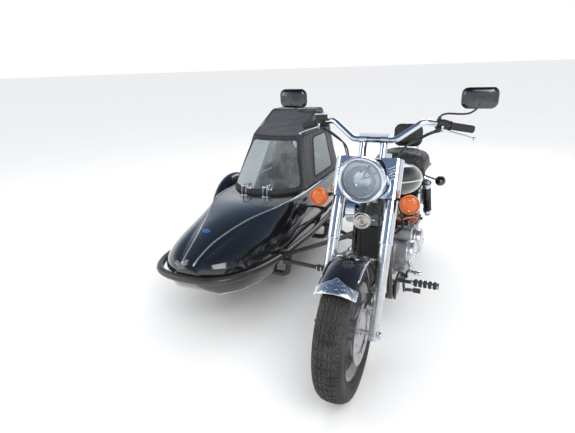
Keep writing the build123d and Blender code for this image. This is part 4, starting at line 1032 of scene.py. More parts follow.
def makeControls():
    grips, rubberEnds, housings, levers, caps = [], [], [], [], []
    look = controlLook
    r = look["gripRadius"]
    for side in (-1, 1):
        inner, outer = onBar(side, 120), onBar(side, -4)
        run = (outer - inner).normalized()
        length = (outer - inner).length
        profile = [(0.0, 0.0145), (0.0, r + 0.003), (0.003, r + 0.0045), (0.007, r + 0.0035), (0.009, r - 0.001)]
        for rib in range(look["ribs"]):
            s = 0.012 + rib * (length - 0.024) / look["ribs"]
            pitch = (length - 0.024) / look["ribs"]
            for share, drop in ((0, 0.0012), (0.18, 0.0002), (0.62, 0.0002), (0.8, 0.0012)):
                profile.append((s + pitch * share, r - drop))
        profile += [(length - 0.01, r - 0.001), (length - 0.008, r), (length - 0.003, r - 0.0002),
                    (length - 0.0015, r - 0.004), (length - 0.0015, 0.0145)]
        grips.append(turned("grip", profile, inner, run, 36))
        rubberEnds.append(turned("gripEnd",
                                 [(length - 0.004, 0), (length - 0.004, 0.0138), (length - 0.0008, 0.0136),
                                  (length + 0.0002, 0.010), (length + 0.0002, 0)], inner, run, 28))
        # switch housing in two halves, with a seam, and the lever's clamp
        s0 = onBar(side, 184)
        profile = [(0, 0.0145), (0, 0.021), (0.003, 0.0245), (0.028, 0.0255), (0.0285, 0.0245), (0.0295, 0.0245),
                   (0.030, 0.0255), (0.052, 0.0245), (0.056, 0.021), (0.056, 0.0145)]
        housings.append(turned("switch", profile, s0, run, 32))
        for k, (along, width) in enumerate(look["buttons"]):
            spot = s0 + run * along + Vector((0, 0.023, 0.010 - 0.008 * k))
            caps.append(plate("button", roundedOutline(width, 0.008, 0.0025, 3), spot + Vector((0, 0.0055, 0)),
                              (-1, 0, 0), (0, 0, 1), 0.008, 0.0012))
        clamp = onBar(side, 150, 10, -2)
        housings.append(plate("clamp", roundedOutline(0.030, 0.04, 0.009, 4), clamp + Vector((0, -0.012, 0)),
                              (1, 0, 0), (0, 0, 1), 0.03, 0.003))
        pivot = onBar(side, 150, 42, -14)
        housings.append(sweptBar("perch", [onBar(side, 150, 14, -3), onBar(side, 151, 26, -8), pivot],
                                 [0.026, 0.024, 0.026], [0.022, 0.02, 0.02]))
        line = smoothLine([onBar(side, *place) for place in look["lever"]], 5)
        wide, tall = (taper(len(line), *look[key]) for key in ("leverWide", "leverTall"))
        levers.append(sweptBar("lever", line, wide, tall))
        ball = onBar(side, *look["lever"][-1])
        levers.append(turned("ball",
                             [(-0.0085 * math.cos(math.pi * k / 10), 0.0085 * math.sin(math.pi * k / 10))
                              for k in range(11)], ball, run, 20))
        levers.append(turned("pin", [(-0.013, 0), (-0.013, 0.006), (0.013, 0.006), (0.0145, 0.0045), (0.0145, 0)],
                             pivot, (0, 0, 1), 16))
    # brake reservoir with a lid on the right
    tank = onBar(-1, 158, 22, 14)
    across, over = Vector((1, 0.35, 0)).normalized(), Vector((0, 0, 1))
    ahead = over.cross(across)
    housings.append(plate("reservoir", roundedOutline(0.062, 0.046, 0.008), tank + over * 0.029, across, ahead,
                          0.029, 0.0025))
    caps.append(plate("lid", roundedOutline(0.066, 0.05, 0.009), tank + over * 0.0345, across, ahead, 0.0055,
                      0.0018))
    grip = addJoined("gripSleeves", grips, "steering", "gripRubber", "rubber")
    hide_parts("grips")
    addJoined("gripEnds", rubberEnds, "steering", "chrome", "chrome")
    housing = addJoined("switchHousings", housings, "steering", "blackPlastic", "black_plastic", smooth=False)
    shadeByAngle(housing)
    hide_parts("hand_controls")
    addJoined("leverBlades", levers, "steering", "chrome", "chrome")
    lids = addJoined("controlCaps", caps, "steering", "chrome", "chrome", smooth=False)
    shadeByAngle(lids)
    fasteners("lidScrews", [(tank + across * (0.022 * k) + over * 0.0345, over) for k in (-1, 1)], "steering",
              0.0035, "dome")


def shadeByAngle(piece, angle=0.6):
    # smooth faces with the edges over an angle kept sharp
    mesh = piece.data
    for face in mesh.polygons:
        face.use_smooth = True
    work = bmesh.new()
    work.from_mesh(mesh)
    for edge in work.edges:
        if len(edge.link_faces) == 2 and edge.calc_face_angle(0) > angle:
            edge.smooth = False
    work.to_mesh(mesh)
    work.free()


# control cables
def makeCables():
    # fixed sleeves from the controls to behind the nacelle, both ends on the steering
    runs = []
    for side in (-1, 1):
        foot = onBar(side, 160, 44, -16)
        for k in range(2):
            drop = 0.008 * k
            points = [foot + Vector((0, 0, -drop)), foot + Vector((-side * 0.045, -0.012, -0.012 - drop)),
                      foot + Vector((-side * 0.10, -0.01, -0.05 - drop)),
                      at(side * (150 - 14 * k), 430, 1080 - 10 * k), at(side * (118 - 8 * k), 388, 1010),
                      at(side * (96 - 6 * k), 352, 962 + 6 * k), at(side * 84, 345, 930)]
            runs.append(tubeMesh("cable", points, 0.0034 + 0.0008 * k, 8))
            runs.append(turned("ferrule", [(0, 0), (0, 0.0058), (0.02, 0.0052), (0.026, 0.004), (0.026, 0)],
                               foot + Vector((0, 0, -drop)), Vector((-side, -0.25, -0.25)), 12))
    # instrument lead along the middle riser
    runs.append(tubeMesh("lead", [at(-30, 392, 1090), at(-34, 388, 1050), at(-30, 384, 1015), at(-24, 380, 1004)],
                         0.004, 8))
    addJoined("controlCables", runs, "steering", "blackPlastic", "black_plastic")


makeHeadlamp()
makeMirrors()
makeControls()
makeCables()
print("front end dressed")


# front mudguard
guardLook = {"tipLow": -36.6, "stand": 0.0022, "halfWide": 86.5, "crown": 356.0, "skirt": 318.0}


def guardPoint(share, angle, lift):
    # a point on the crowned guard: share runs from -1 to 1 across it, angle from the top, backwards positive
    half, crown, skirt = guardLook["halfWide"] / 1000, guardLook["crown"] / 1000, guardLook["skirt"] / 1000
    drop = crown - skirt
    r = (half * half + drop * drop) / (2 * drop)
    reach = math.asin(min(1.0, half / r)) if drop < r else math.pi - math.asin(half / r)
    bend = share * reach
    across = r * math.sin(bend)
    up = crown - r + r * math.cos(bend)
    out = Vector((math.sin(bend), math.sin(angle) * math.cos(bend), math.cos(angle) * math.cos(bend)))
    return frontAxle + Vector((across, math.sin(angle) * up, math.cos(angle) * up)) + out * lift, out


def makeGuardTip():
    g = guardLook
    rows = []
    steps = 64
    for k in range(steps + 1):
        share = (2 * k / steps - 1) * 0.985
        # scalloped upper edge with a peak in the middle
        s = abs(share)
        swell = max(0.0, 1 - s / 0.7)
        scallop = 7.6 + 3.0 * swell * swell * (3 - 2 * swell) + 2.4 * max(0.0,
                1 - (s * s + 0.0006) ** 0.5 / 0.2) ** 1.4
        low, high = math.radians(g["tipLow"]), math.radians(g["tipLow"] + scallop)
        row = []
        for t in (0.0, 0.06, 0.5, 0.94, 1.0):
            lift = g["stand"] + (0.0034 if t in (0.06, 0.94) else 0.0018 if t == 0.5 else 0.0)
            row.append(guardPoint(share, low + (high - low) * t, lift)[0])
        rows.append(row)
    mesh = applied("guardTip", meshOf("guardTip", *grid(rows)),
                   ("SOLIDIFY", {"thickness": 0.0018, "offset": -1}),
                   ("SUBSURF", {"levels": 1, "render_levels": 1}))
    piece = addPiece("guardTip", mesh, "steering", "engravedChrome", "chrome")
    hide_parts("fender_tip")
    # a bright strip along each side
    strips = []
    for side in (-1, 1):
        angles = [math.radians(-22 + 108 * k / 40) for k in range(41)]
        line, normals = zip(*(guardPoint(side * 0.86, angle, 0.001) for angle in angles))
        strips.append(sweptStrip("strip", line, normals, 0.011, 0.004))
    addJoined("guardStrips", strips, "steering", "chrome", "chrome")
    spots = []
    for side in (-1, 1):
        for angle in (-33.5, 20, 60):
            spots.append(guardPoint(side * 0.95, math.radians(angle), 0.0038 if angle < 0 else 0.001))
    fasteners("guardScrews", spots, "steering", 0.0048, "dome")


def sweptStrip(name, line, normals, wide, tall, sides=10, ends=0.35):
    # a low domed strip that follows a surface
    rows = []
    for k, point in enumerate(line):
        run = runAt(line, k)
        up = normals[k].normalized()
        side = run.cross(up).normalized()
        end = ends if k in (0, len(line) - 1) else 1.0
        row = []
        for s in range(sides + 1):
            angle = math.pi * s / sides
            out, rise = wide / 2 * math.cos(angle) * end, tall * math.sin(angle) ** 0.7 * end
            row.append(point + side * out + up * rise)
        row.append(point - up * tall * 0.3)
        rows.append(row)
    return tidy(meshOf(name, *capped(rows)))


makeGuardTip()


# fork, axle and nacelle fittings
def makeForkFittings():
    parts, spots = [], []
    for side in (-1, 1):
        x = side * 122
        # collars on the sliders and covers, the axle's nut and washer, clamp bolts
        for up, radius, tall in ((396, 31.5, 9), (612, 33, 6), (640, 33, 5)):
            r, top = radius / 1000, tall / 1000
            profile = [(0, 0.026), (0, r - 0.001), (0.001, r), (top - 0.001, r), (top, r - 0.001), (top, 0.026)]
            parts.append(turned("collar", profile, onFork(x, 0, up), forkUp, 40))
        nutAt = onFork(side * 146, 0, 0)
        parts.append(turned("axleNut", [(-0.004, 0), (-0.004, 0.016), (0.006, 0.017), (0.009, 0.015), (0.009, 0)],
                            nutAt, (side, 0, 0), 6))
        parts.append(turned("washer", [(-0.008, 0), (-0.008, 0.021), (-0.0045, 0.021), (-0.004, 0)], nutAt,
                            (side, 0, 0), 28))
        spots += [(onFork(x, -26, -10), -forkBack), (onFork(side * 94, -7, 185), -forkBack)]
        # top plugs under the risers
        parts.append(turned("plug",
                            [(0, 0), (0, 0.021), (0.006, 0.021), (0.008, 0.018), (0.008, 0.012), (0.014, 0.0115),
                             (0.016, 0.009), (0.016, 0)], onFork(x, 0, 782), forkUp, 36))
    addJoined("forkFittings", parts, "steering", "chrome", "chrome")
    fasteners("forkBolts", spots, "steering", 0.0062)
    # cross bar with a pin under the nacelle, and the horn's face
    bar = [tubeMesh("bar", [at(-58, 240, 762), at(0, 232, 766), at(58, 240, 762)], 0.0035, 8),
           turned("barPin", [(-0.012, 0), (-0.012, 0.005), (0.012, 0.005), (0.012, 0)], at(0, 230, 772), (0, 0, 1),
                  14)]
    addJoined("nacelleBar", bar, "steering", "chrome", "chrome")
    low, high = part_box("horn")
    face = Vector(((low[0] + high[0]) / 2, low[1], low[2] + 0.042))
    rings = [turned("ring", [(-0.0012, 0.006), (-0.004, 0.009), (-0.0012, 0.012), (-0.0012, 0.018), (-0.005, 0.022),
                             (-0.0012, 0.026), (-0.0012, 0.032), (-0.0048, 0.036), (-0.0055, 0.041), (0.002, 0.043),
                             (0.003, 0.036), (0.001, 0.004)], face, (0, 1, 0), 40),
             turned("hub", [(-0.007, 0), (-0.0065, 0.005), (0.0, 0.0065), (0.0, 0)], face, (0, 1, 0), 6)]
    addJoined("hornFace", rings, "steering", "oldChrome", "chrome")
    # corner screws of the nacelle
    spots = [(onFork(side * 128, -44.2, 612), -forkBack) for side in (-1, 1)]
    fasteners("nacelleScrews", spots, "steering", 0.0058, "dome")
    # small amber reflectors on the nacelle's lower corners
    marks, outline = [], roundedOutline(0.011, 0.03, 0.004, 3)
    for side in (-1, 1):
        place = onFork(side * 152, -36, 628) + Vector((side * 0.008, 0, 0))
        marks.append(plate("mark", outline, place, (0, side, 0), (0, 0.2, 1), 0.006, 0.0015))
    addJoined("sideReflectors", marks, "steering", "amber", "amber_lens")


makeForkFittings()


def makeIndicatorRims():
    rims, screws = [], []
    for side in (-1, 1):
        centre = at(side * 209, 228, 855)
        screws += [(centre + Vector((0, -0.0125, z)), (0, -1, 0)) for z in (0.024, -0.024)]
        rims.append(turned("ring", [(-0.0115, 0.019), (-0.0128, 0.0205), (-0.0128, 0.023), (-0.0115, 0.0245)],
                           centre, (0, 1, 0), 36))
        rims.append(turned("rim",
                           [(-0.004, 0.0385), (-0.006, 0.041), (-0.004, 0.0435), (0.004, 0.044), (0.008, 0.0425),
                            (0.004, 0.041), (-0.002, 0.0395)], centre, (0, 1, 0), 48))
    addJoined("indicatorRims", rims, "steering", "amber", "amber_lens")
    fasteners("indicatorScrews", screws, "steering", 0.003, "dome")


makeIndicatorRims()


def makeBrake():
    # caliper bolts, and the hose to the yoke
    pads = at(86, 105, 381)
    spots = [(pads + Vector((0.0, dy, dz)), (1, 0, 0)) for dy, dz in ((-0.02, 0.024), (0.022, -0.026))]
    fasteners("caliperBolts", spots, "steering", 0.0075)
    path = ((74, 140, 420), (84, 150, 470), (92, 150, 560), (88, 205, 680), (70, 270, 790), (62, 300, 850))
    hose = tubeMesh("brakeHose", [at(*p) for p in path], 0.0045, 8)
    addPiece("brakeHose", hose, "steering", "blackPlastic", "black_plastic")


makeBrake()
print("fork dressed")


# sidecar hull and its bumper tube
hullLook = {
    # y, top half, side half, floor half, floor z, side z, edge z, crown
    "sections": [
        (92, 36, 78, 40, 330, 374, 424, 5), (124, 62, 150, 92, 286, 368, 446, 8),
        (190, 84, 222, 160, 240, 364, 472, 12), (300, 112, 278, 214, 210, 364, 506, 20),
        (480, 152, 314, 244, 194, 372, 548, 26), (700, 218, 330, 256, 186, 384, 584, 18),
        (944, 284, 338, 270, 186, 396, 596, 4), (1400, 304, 346, 276, 186, 402, 597, 3),
        (1780, 296, 338, 266, 186, 404, 596, 3), (2050, 268, 312, 226, 208, 420, 578, 12),
        (2200, 150, 214, 130, 286, 430, 526, 16),
    ],
    "step": 18, "across": (14, 30, 30), "wall": 0.005, "cockpit": (1035, 1690, 245, 70),
    "trimWide": 0.0105, "trimTall": 0.0042, "badge": (-30, 350), "catch": (-14, 112), "lip": 0.252,
    # plan points of the trim strips, then scale and reach of the rings that round off each end
    "trim": ((37, 102), (47, 170), (60, 250), (94, 375), (152, 555), (222, 715), (266, 860), (279, 930),
             (286, 1030), (287, 1134)),
    "ends": ((0.94, 5), (0.8, 9), (0.55, 12), (0.25, 13.5)), "weltHeight": 0.5985,
}


def arcThrough(a, b, c, count):
    # even points on the circle through three points of a section, the last left out
    (ax, az), (bx, bz), (cx, cz) = a, b, c
    d = 2 * (ax * (bz - cz) + bx * (cz - az) + cx * (az - bz))
    a2, b2, c2 = (x * x + z * z for x, z in (a, b, c))
    ux = (a2 * (bz - cz) + b2 * (cz - az) + c2 * (az - bz)) / d
    uz = (a2 * (cx - bx) + b2 * (ax - cx) + c2 * (bx - ax)) / d
    first, mid, last = (math.atan2(z - uz, x - ux) for x, z in (a, b, c))
    turn = (last - first) % (2 * math.pi)
    if (mid - first) % (2 * math.pi) > turn:
        turn -= 2 * math.pi
    r = math.hypot(ax - ux, az - uz)
    angles = [first + turn * k / count for k in range(count)]
    return [(ux + r * math.cos(angle), uz + r * math.sin(angle)) for angle in angles]


def blendedSection(rows, y):
    # a smooth in-between of the named sections
    k = max(i for i in range(len(rows) - 1) if rows[i][0] <= y)
    a, b = rows[k], rows[k + 1]
    span, share = b[0] - a[0], (y - a[0]) / (b[0] - a[0])
    before, after = rows[max(k - 1, 0)], rows[min(k + 2, len(rows) - 1)]
    values = []
    for i in range(1, 8):
        slopeA = (b[i] - before[i]) / (b[0] - before[0])
        slopeB = (after[i] - a[i]) / (after[0] - a[0])
        t, u = share, 1 - share
        level = a[i] * (1 + 2 * t) * u * u + b[i] * t * t * (3 - 2 * t)
        values.append(level + span * (slopeA * t * u * u - slopeB * t * t * u))
    return values


def sectionLoop(top, side, floor, floorZ, sideZ, edgeZ, crown):
    # a closed section: flat floor, two flanks and a crowned top, each an arc
    low, flank, roof = hullLook["across"]
    loop = [(-floor + 2 * floor * k / low, floorZ) for k in range(low)]
    loop += arcThrough((floor, floorZ), (side, sideZ), (top, edgeZ), flank)
    loop += arcThrough((top, edgeZ), (0, edgeZ + crown), (-top, edgeZ), roof)
    return loop + arcThrough((-top, edgeZ), (-side, sideZ), (-floor, floorZ), flank)


def makeHull():
    rows, sections = [], hullLook["sections"]
    ys = [92, 98, 106] + list(range(116, 2190, hullLook["step"])) + [2192, 2200]
    for y in ys:
        rows.append([(x, y, z) for x, z in sectionLoop(*blendedSection(sections, min(y, 2199.9)))])
    # rounded nose and tail
    for end, out in ((0, -1), (-1, 1)):
        face = rows[end]
        middle = sum(p[2] for p in face) / len(face)
        caps = [[(x * s, y + out * reach, middle + (z - middle) * s) for x, y, z in face] for s,
                reach in hullLook["ends"]]
        rows = list(reversed(caps)) + rows if end == 0 else rows + caps
    skin = tidy(meshOf("hullSkin", *capped([[onChair(*p) for p in row] for row in rows])))
    # the cockpit is cut from the top, its edge set on the opening's outline
    front, rear, half, corner = hullLook["cockpit"]
    centre = onChair(0, (front + rear) / 2, 0)
    outline = [Vector((centre.x + a, centre.y + b)) for a,
               b in roundedOutline(half * 0.002, (rear - front) / 1000, corner / 1000, 8)]
    sides = []
    for k, p in enumerate(outline):
        q = outline[(k + 1) % len(outline)]
        parts = max(1, int((q - p).length / 0.012))
        sides += [p.lerp(q, part / parts) for part in range(parts)]
    work = bmesh.new()
    work.from_mesh(skin)
    inner = []
    for face in work.faces:
        middle = face.calc_center_median()
        if middle.z > 0.55 and insideOutline(sides, middle.xy):
            inner.append(face)
    bmesh.ops.delete(work, geom=inner, context="FACES")
    for vertex in work.verts:
        if vertex.is_boundary:
            near = min(sides, key=lambda q: (q - vertex.co.xy).length)
            vertex.co.x, vertex.co.y = near
    opened = bpy.data.meshes.new("hull")
    work.to_mesh(opened)
    work.free()
    shell = applied("hullShell", opened, ("SOLIDIFY", {"thickness": hullLook["wall"], "offset": -1}))
    hull = addPiece("hullShell", shell, "rig", "glossBlack", "black_gloss")
    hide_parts("chair_body")
    rim = [Vector((p.x, p.y, hullLook["weltHeight"])) for p in sides[::3]]
    addPiece("cockpitWelt", tubeMesh("cockpitWelt", rim + rim[:2], 0.0065, 10), "rig", "gripRubber", "black_gloss")
    return surfaceOf(skin)


def insideOutline(outline, spot):
    # counts the sides crossed on the way out
    inside = False
    for k, a in enumerate(outline):
        b = outline[k - 1]
        if (a.y > spot.y) != (b.y > spot.y) and spot.x < (b.x - a.x) * (spot.y - a.y) / (b.y - a.y) + a.x:
            inside = not inside
    return inside


bumperLook = {
    "cutX": -540, "cutY": 560, "tube": 0.021,
    "bow": ((349, 640, 335), (345.4, 560, 335), (306, 262, 362), (182, 64, 370), (-182, 64, 370),
            (-310, 262, 362), (-350, 560, 335), (-353, 640, 332)),
}


def makeBumper():
    # the chassis, its front bow made rounder and set closer to the nose
    source = frame["nodes"]["chair_frame"].data
    work = bmesh.new()
    work.from_mesh(source)
    bmesh.ops.remove_doubles(work, verts=work.verts, dist=1e-6)
    plane, limit = at(0, bumperLook["cutY"], 0), at(bumperLook["cutX"], 0, 0).x
    bmesh.ops.bisect_plane(work, geom=work.verts[:] + work.edges[:] + work.faces[:], plane_co=plane,
                           plane_no=(0, 1, 0))
    bmesh.ops.delete(work, geom=[v for v in work.verts if v.co.y < plane.y - 1e-5 and v.co.x < limit],
                     context="VERTS")
    kept = bpy.data.meshes.new("chassis")
    work.to_mesh(kept)
    work.free()
    bow = [onChair(*p) for p in bumperLook["bow"]]
    ring = tubeMesh("bumper", bow, bumperLook["tube"], 24, resolution=14)
    piece = addJoined("chassis", [kept, ring], "rig", "frameBlack", "black_paint", smooth=False)
    shadeByAngle(piece)
    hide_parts("chair_frame")


hullSkin = makeHull()
makeBumper()


def onDeck(half, y, side=1):
    # the hull's top skin under a plan point
    origin = Vector((chairCentre + side * half / 1000, at(0, y, 0).y, 2.0))
    hit, normal, _, _ = hullSkin.ray_cast(origin, Vector((0, 0, -1)))
    if normal.z < 0:
        normal = -normal
    return hit, normal


def makeHullTrim():
    strips = []
    for side in (-1, 1):
        keys = smoothLine([Vector((*key, 0)) for key in hullLook["trim"]], 6)
        line, normals = zip(*(onDeck(x, y, side) for x, y, _ in keys))
        strips.append(sweptStrip("trim", line, normals, hullLook["trimWide"], hullLook["trimTall"]))
    piece = addJoined("hullTrim", strips, "rig", "satinTrim", "chrome")
    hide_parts("chair_trim")
    # bare enamel boss, and a small catch at the nose
    p, n = onDeck(*hullLook["badge"])
    addPiece("noseBoss", ovalBoss(p, n, 0.026, 0.015, 0.0045), "rig", "blueEnamel", "chrome")
    p, n = onDeck(*hullLook["catch"])
    across = Vector((1, 0, 0))
    ahead = n.cross(across)
    catch = [plate("catch", roundedOutline(0.022, 0.034, 0.006), p + n * 0.004, across, ahead, 0.005, 0.0012),
             tubeMesh("catchBow", [p + n * 0.003 - ahead * 0.01, p + n * 0.013 - ahead * 0.004,
                                   p + n * 0.013 + ahead * 0.006, p + n * 0.003 + ahead * 0.012], 0.002, 8)]
    addJoined("noseCatch", catch, "rig", "oldChrome", "chrome", smooth=False)


def ovalBoss(place, normal, wide, tall, rise, steps=40):
    # a domed oval on a skin
    across = Vector((1, 0, 0))
    ahead = normal.cross(across).normalized()
    rows = []
    for scale, lift in ((1.0, -0.002), (1.0, 0.35), (0.93, 0.75), (0.7, 0.95), (0.35, 1.0), (0.02, 1.0)):
        row = []
        for k in range(steps):
            angle = 2 * math.pi * k / steps
            a, b = wide * scale * math.cos(angle), tall * scale * math.sin(angle)
            row.append(place + across * a + ahead * b + normal * (rise * lift if lift > 0 else lift))
        rows.append(row)
    points, faces = grid(rows, closedCols=True)
    faces.append(tuple(len(points) - steps + k for k in range(steps)))
    return tidy(meshOf("boss", points, faces))


makeHullTrim()


def makeHullEdges():
    # pale strip low on the nose: a painted highlight along the hull's lower edge
    line, normals = [], []
    middle = Vector((chairCentre, at(0, 520, 0).y, hullLook["lip"]))
    for k in range(61):
        angle = math.radians(-158 + 136 * k / 60)
        hit, normal, _, _ = hullSkin.ray_cast(middle, Vector((math.cos(angle), math.sin(angle), 0)))
        line.append(hit)
        normals.append(sameWay(normal, hit - middle))
    addPiece("noseLip", sweptStrip("noseLip", line, normals, 0.009, 0.0035), "rig", "satinTrim", "chrome")


makeHullEdges()


def makeClamps():
    # split clamps where the struts meet the sidecar's tube and the motorcycle, with rust
    clamps, spots = [], []
    for x, y, z, run in ((-581, 600, 344, (-0.05, 1, 0)), (-552, 1290, 315, (0, 1, 0)),
                         (-552, 1500, 335, (0, 1, 0))):
        centre = at(x, y, z)
        clamps.append(turned("clamp",
                             [(-0.019, 0.0215), (-0.019, 0.0262), (-0.017, 0.0275), (0.017, 0.0275),
                              (0.019, 0.0262), (0.019, 0.0215)], centre, run, 36))
        ear = centre + Vector((0.02, 0, 0))
        clamps.append(plate("ear", roundedOutline(0.034, 0.04, 0.008, 4), ear + Vector((0.006, 0.006, 0)),
                            (1, 0, 0), (0, 0, 1), 0.012, 0.002))
        spots += [(ear + Vector((0.008, -0.0065, 0.009)), (0, -1, 0)),
                  (ear + Vector((0.008, -0.0065, -0.011)), (0, -1, 0))]
    addJoined("strutClamps", clamps, "rig", "rusty", "black_paint")
    fasteners("clampBolts", spots, "rig", 0.0072, "hex", "oldChrome")


makeClamps()
print("sidecar hull dressed")


# soft seats
def pressed(mesh, seams):
    # sewn seams: each is a plane within a box, pressed in along the skin
    normals = [v.normal.copy() for v in mesh.vertices]
    for vertex, normal in zip(mesh.vertices, normals):
        for place, across, low, high, depth, wide in seams:
            p = vertex.co
            off = (p - place).dot(across)
            if abs(off) < wide * 3 and all(low[i] <= p[i] <= high[i] for i in range(3)):
                vertex.co = p - normal * (depth * math.exp(-((off / wide) ** 2)))
    mesh.update()
    return mesh


def creased(mesh, amount, scale):
    # shallow wrinkles, longer across the seat than along it
    normals = [v.normal.copy() for v in mesh.vertices]
    for vertex, normal in zip(mesh.vertices, normals):
        p = vertex.co
        coarse = Vector((p.x * scale * 0.6, p.y * scale, p.z * scale))
        wave = noise.noise(coarse) + 0.5 * noise.noise(p * scale * 2.3)
        vertex.co = p + normal * (amount * (1 - abs(wave) * 2.2))
    mesh.update()
    return mesh


def castLine(surface, starts, direction, lift=0.0):
    # where rays meet a surface: points a little above it, and its normals against the rays
    line, normals = [], []
    direction = Vector(direction).normalized()
    for start in starts:
        hit, normal, _, _ = surface.ray_cast(Vector(start), direction)
        if hit:
            normal = -normal if normal.dot(direction) > 0 else normal
            line.append(hit + normal * lift)
            normals.append(normal)
    return line, normals


padLook = {
    # y, top half, side half, floor half, floor z, side z, edge z, crown
    "rider": [(1014, 66, 84, 64, 764, 780, 804, 8), (1070, 128, 150, 120, 722, 748, 778, 6),
              (1140, 160, 182, 150, 721, 752, 788, 8), (1186, 160, 182, 150, 721, 762, 812, 14)],
    "pillion": [(1146, 104, 128, 112, 752, 790, 838, 10), (1176, 138, 168, 142, 728, 794, 870, 18),
                (1260, 144, 178, 148, 724, 796, 876, 18),
                (1392, 142, 176, 148, 722, 794, 872, 17), (1444, 132, 166, 144, 720, 788, 862, 14),
                (1466, 100, 132, 120, 738, 788, 836, 8)],
    "rest": {"middle": (0, 1502, 960), "wide": 0.206, "tall": 0.168, "corner": 0.052, "deep": 0.044, "lean": 0.14},
    "saddle": {"voxel": 0.006, "shrink": 0.007, "pressure": 4.0, "cap": 0.011, "crease": 0.0012, "scale": 34},
    "backrest": {"voxel": 0.005, "shrink": 0.006, "pressure": 4.0, "cap": 0.012, "crease": 0.0012, "scale": 40},
    "chair_seat": {"voxel": 0.0078, "shrink": 0.008, "pressure": 4.0, "cap": 0.012, "crease": 0.0014, "scale": 26},
}


def padOf(name, node, seams, source=None):
    # the node's pad, made from its own solid or from another
    look = padLook[node]
    mesh = puffed(name, source or frame["nodes"][node], look)
    if source:
        bpy.data.objects.remove(source)
    return pressed(creased(mesh, look["crease"], look["scale"]), seams)


def sectionSolid(sections):
    # one closed form through its sections
    first, last = sections[0][0], sections[-1][0]
    ys = [first + (last - first) * k / 30 for k in range(31)]
    rows = [[at(x, y, z) for x, z in sectionLoop(*blendedSection(sections, min(y, last - 0.01)))] for y in ys]
    points, faces = grid(rows, closedCols=True)
    count = len(rows[0])
    return tidy(meshOf("solid", points, faces + [tuple(range(count)), tuple(30 * count + k for k in range(count))]))


def seamAt(place, across, low, high, depth, wide):
    # a seam's plane and box in millimetres, its depth and width in metres
    return at(*place), Vector(across).normalized(), at(*low), at(*high), depth, wide


def makeSaddle():
    # a dished rider's part, a step, and a crowned pillion part
    seams = [seamAt((0, 1166, 0), (0, 1, 0.15), (-260, 1100, 700), (260, 1240, 920), 0.006, 0.007),
             seamAt((0, 1098, 0), (0, 1, 0), (-120, 1060, 770), (120, 1130, 900), 0.0025, 0.006)]
    for side in (-1, 1):
        seams.append(seamAt((side * 104, 0, 0), (1, 0, 0), (-240, 1060, 770), (240, 1150, 900), 0.0022, 0.006))
        seams.append(seamAt((side * 96, 0, 0), (1, 0, 0), (-240, 1196, 840), (240, 1400, 920), 0.003, 0.006))
    for y in (1240, 1320):
        seams.append(seamAt((0, y, 0), (0, 1, 0), (-96, y - 30, 850), (96, y + 30, 920), 0.003, 0.006))
    solids = joined("saddle", [sectionSolid(padLook[part]) for part in ("rider", "pillion")])
    mesh = padOf("saddlePad", "saddle", seams, looseObject("saddle", solids))
    saddle = addPiece("saddlePad", mesh, "rig", "leather", "black_leather")
    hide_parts("saddle")
    skin = surfaceOf(mesh)
    cords, stitches = [], []
    for side in (-1, 1):
        for low, high, z in ((1040, 1150, 768), (1190, 1392, 846)):
            spots = [at(side * 320, low + (high - low) * k / 24, z) for k in range(25)]
            line, normals = castLine(skin, spots, (-side, 0, 0), 0.0012)
            if len(line) > 3:
                cords.append(tubeMesh("piping", line[::2], 0.0026, 8))
                stitches.append([p + n * 0.0008 + Vector((0, 0, 0.009)) for p, n in zip(line, normals)])
        spots = [at(side * 96, 1200 + 190 * k / 24, 1000) for k in range(25)]
        stitches.append(castLine(skin, spots, (0, 0, -1), 0.0006)[0])
    addJoined("saddlePiping", cords, "rig", "gripRubber", "black_leather")
    stitchLine("saddleStitches", [s for s in stitches if len(s) > 3], "rig")


def makeBackrest():
    # one pad with a sewn border, on two posts
    rest = padLook["rest"]
    middle, up = at(*rest["middle"]), Vector((0, rest["lean"], 1)).normalized()
    back = Vector((0, 1, -rest["lean"])).normalized()
    solid = plate("rest", roundedOutline(rest["wide"], rest["tall"], rest["corner"], 8),
                  middle - back * (rest["deep"] / 2), (1, 0, 0), up, rest["deep"], 0.014, 4)
    mesh = padOf("backrestPad", "backrest", [], looseObject("rest", solid))
    pad = addPiece("backrestPad", mesh, "rig", "leather", "black_leather")
    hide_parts("backrest")
    skin = surfaceOf(mesh)
    edge = roundedOutline(rest["wide"] - 0.04, rest["tall"] - 0.04, rest["corner"] - 0.018, 8)
    starts = [middle + Vector((a, 0, 0)) + up * b - back * 0.2 for a, b in edge + edge[:1]]
    stitchLine("backrestStitches", [castLine(skin, starts, back, 0.0006)[0]], "rig")
    posts, path = [], ((64, 1541, 930), (64, 1533, 880), (70, 1510, 770), (96, 1480, 690), (100, 1470, 660))
    for side in (-1, 1):
        posts.append(tubeMesh("post", [at(side * x, y, z) for x, y, z in path], 0.008, 12))
    posts.append(tubeMesh("cross", [at(-64, 1540, 925), at(0, 1541, 928), at(64, 1540, 925)], 0.007, 12))
    posts = addJoined("backrestPosts", posts, "rig", "chrome", "chrome")
    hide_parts("backrest_frame")


def makeChairSeat():
    # cushion and back with sewn channels
    seams = []
    left, right = chairMiddle - 230, chairMiddle + 230
    for x in (-108, -36, 36, 108):
        for low, high in (((1250, 330), (1560, 420)), ((1480, 380), (1640, 740))):
            seams.append(seamAt((chairMiddle + x, 0, 0), (1, 0, 0), (left, *low), (right, *high), 0.0045, 0.0075))
    seams.append(seamAt((chairMiddle, 0, 735), (0, 0, 1), (left, 1560, 700), (right, 1680, 765), 0.004, 0.0075))
    mesh = padOf("chairPad", "chair_seat", seams)
    pad = addPiece("chairPad", mesh, "rig", "leather", "black_leather")
    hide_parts("chair_seat")


makeSaddle()
makeBackrest()
makeChairSeat()
print("seats padded")


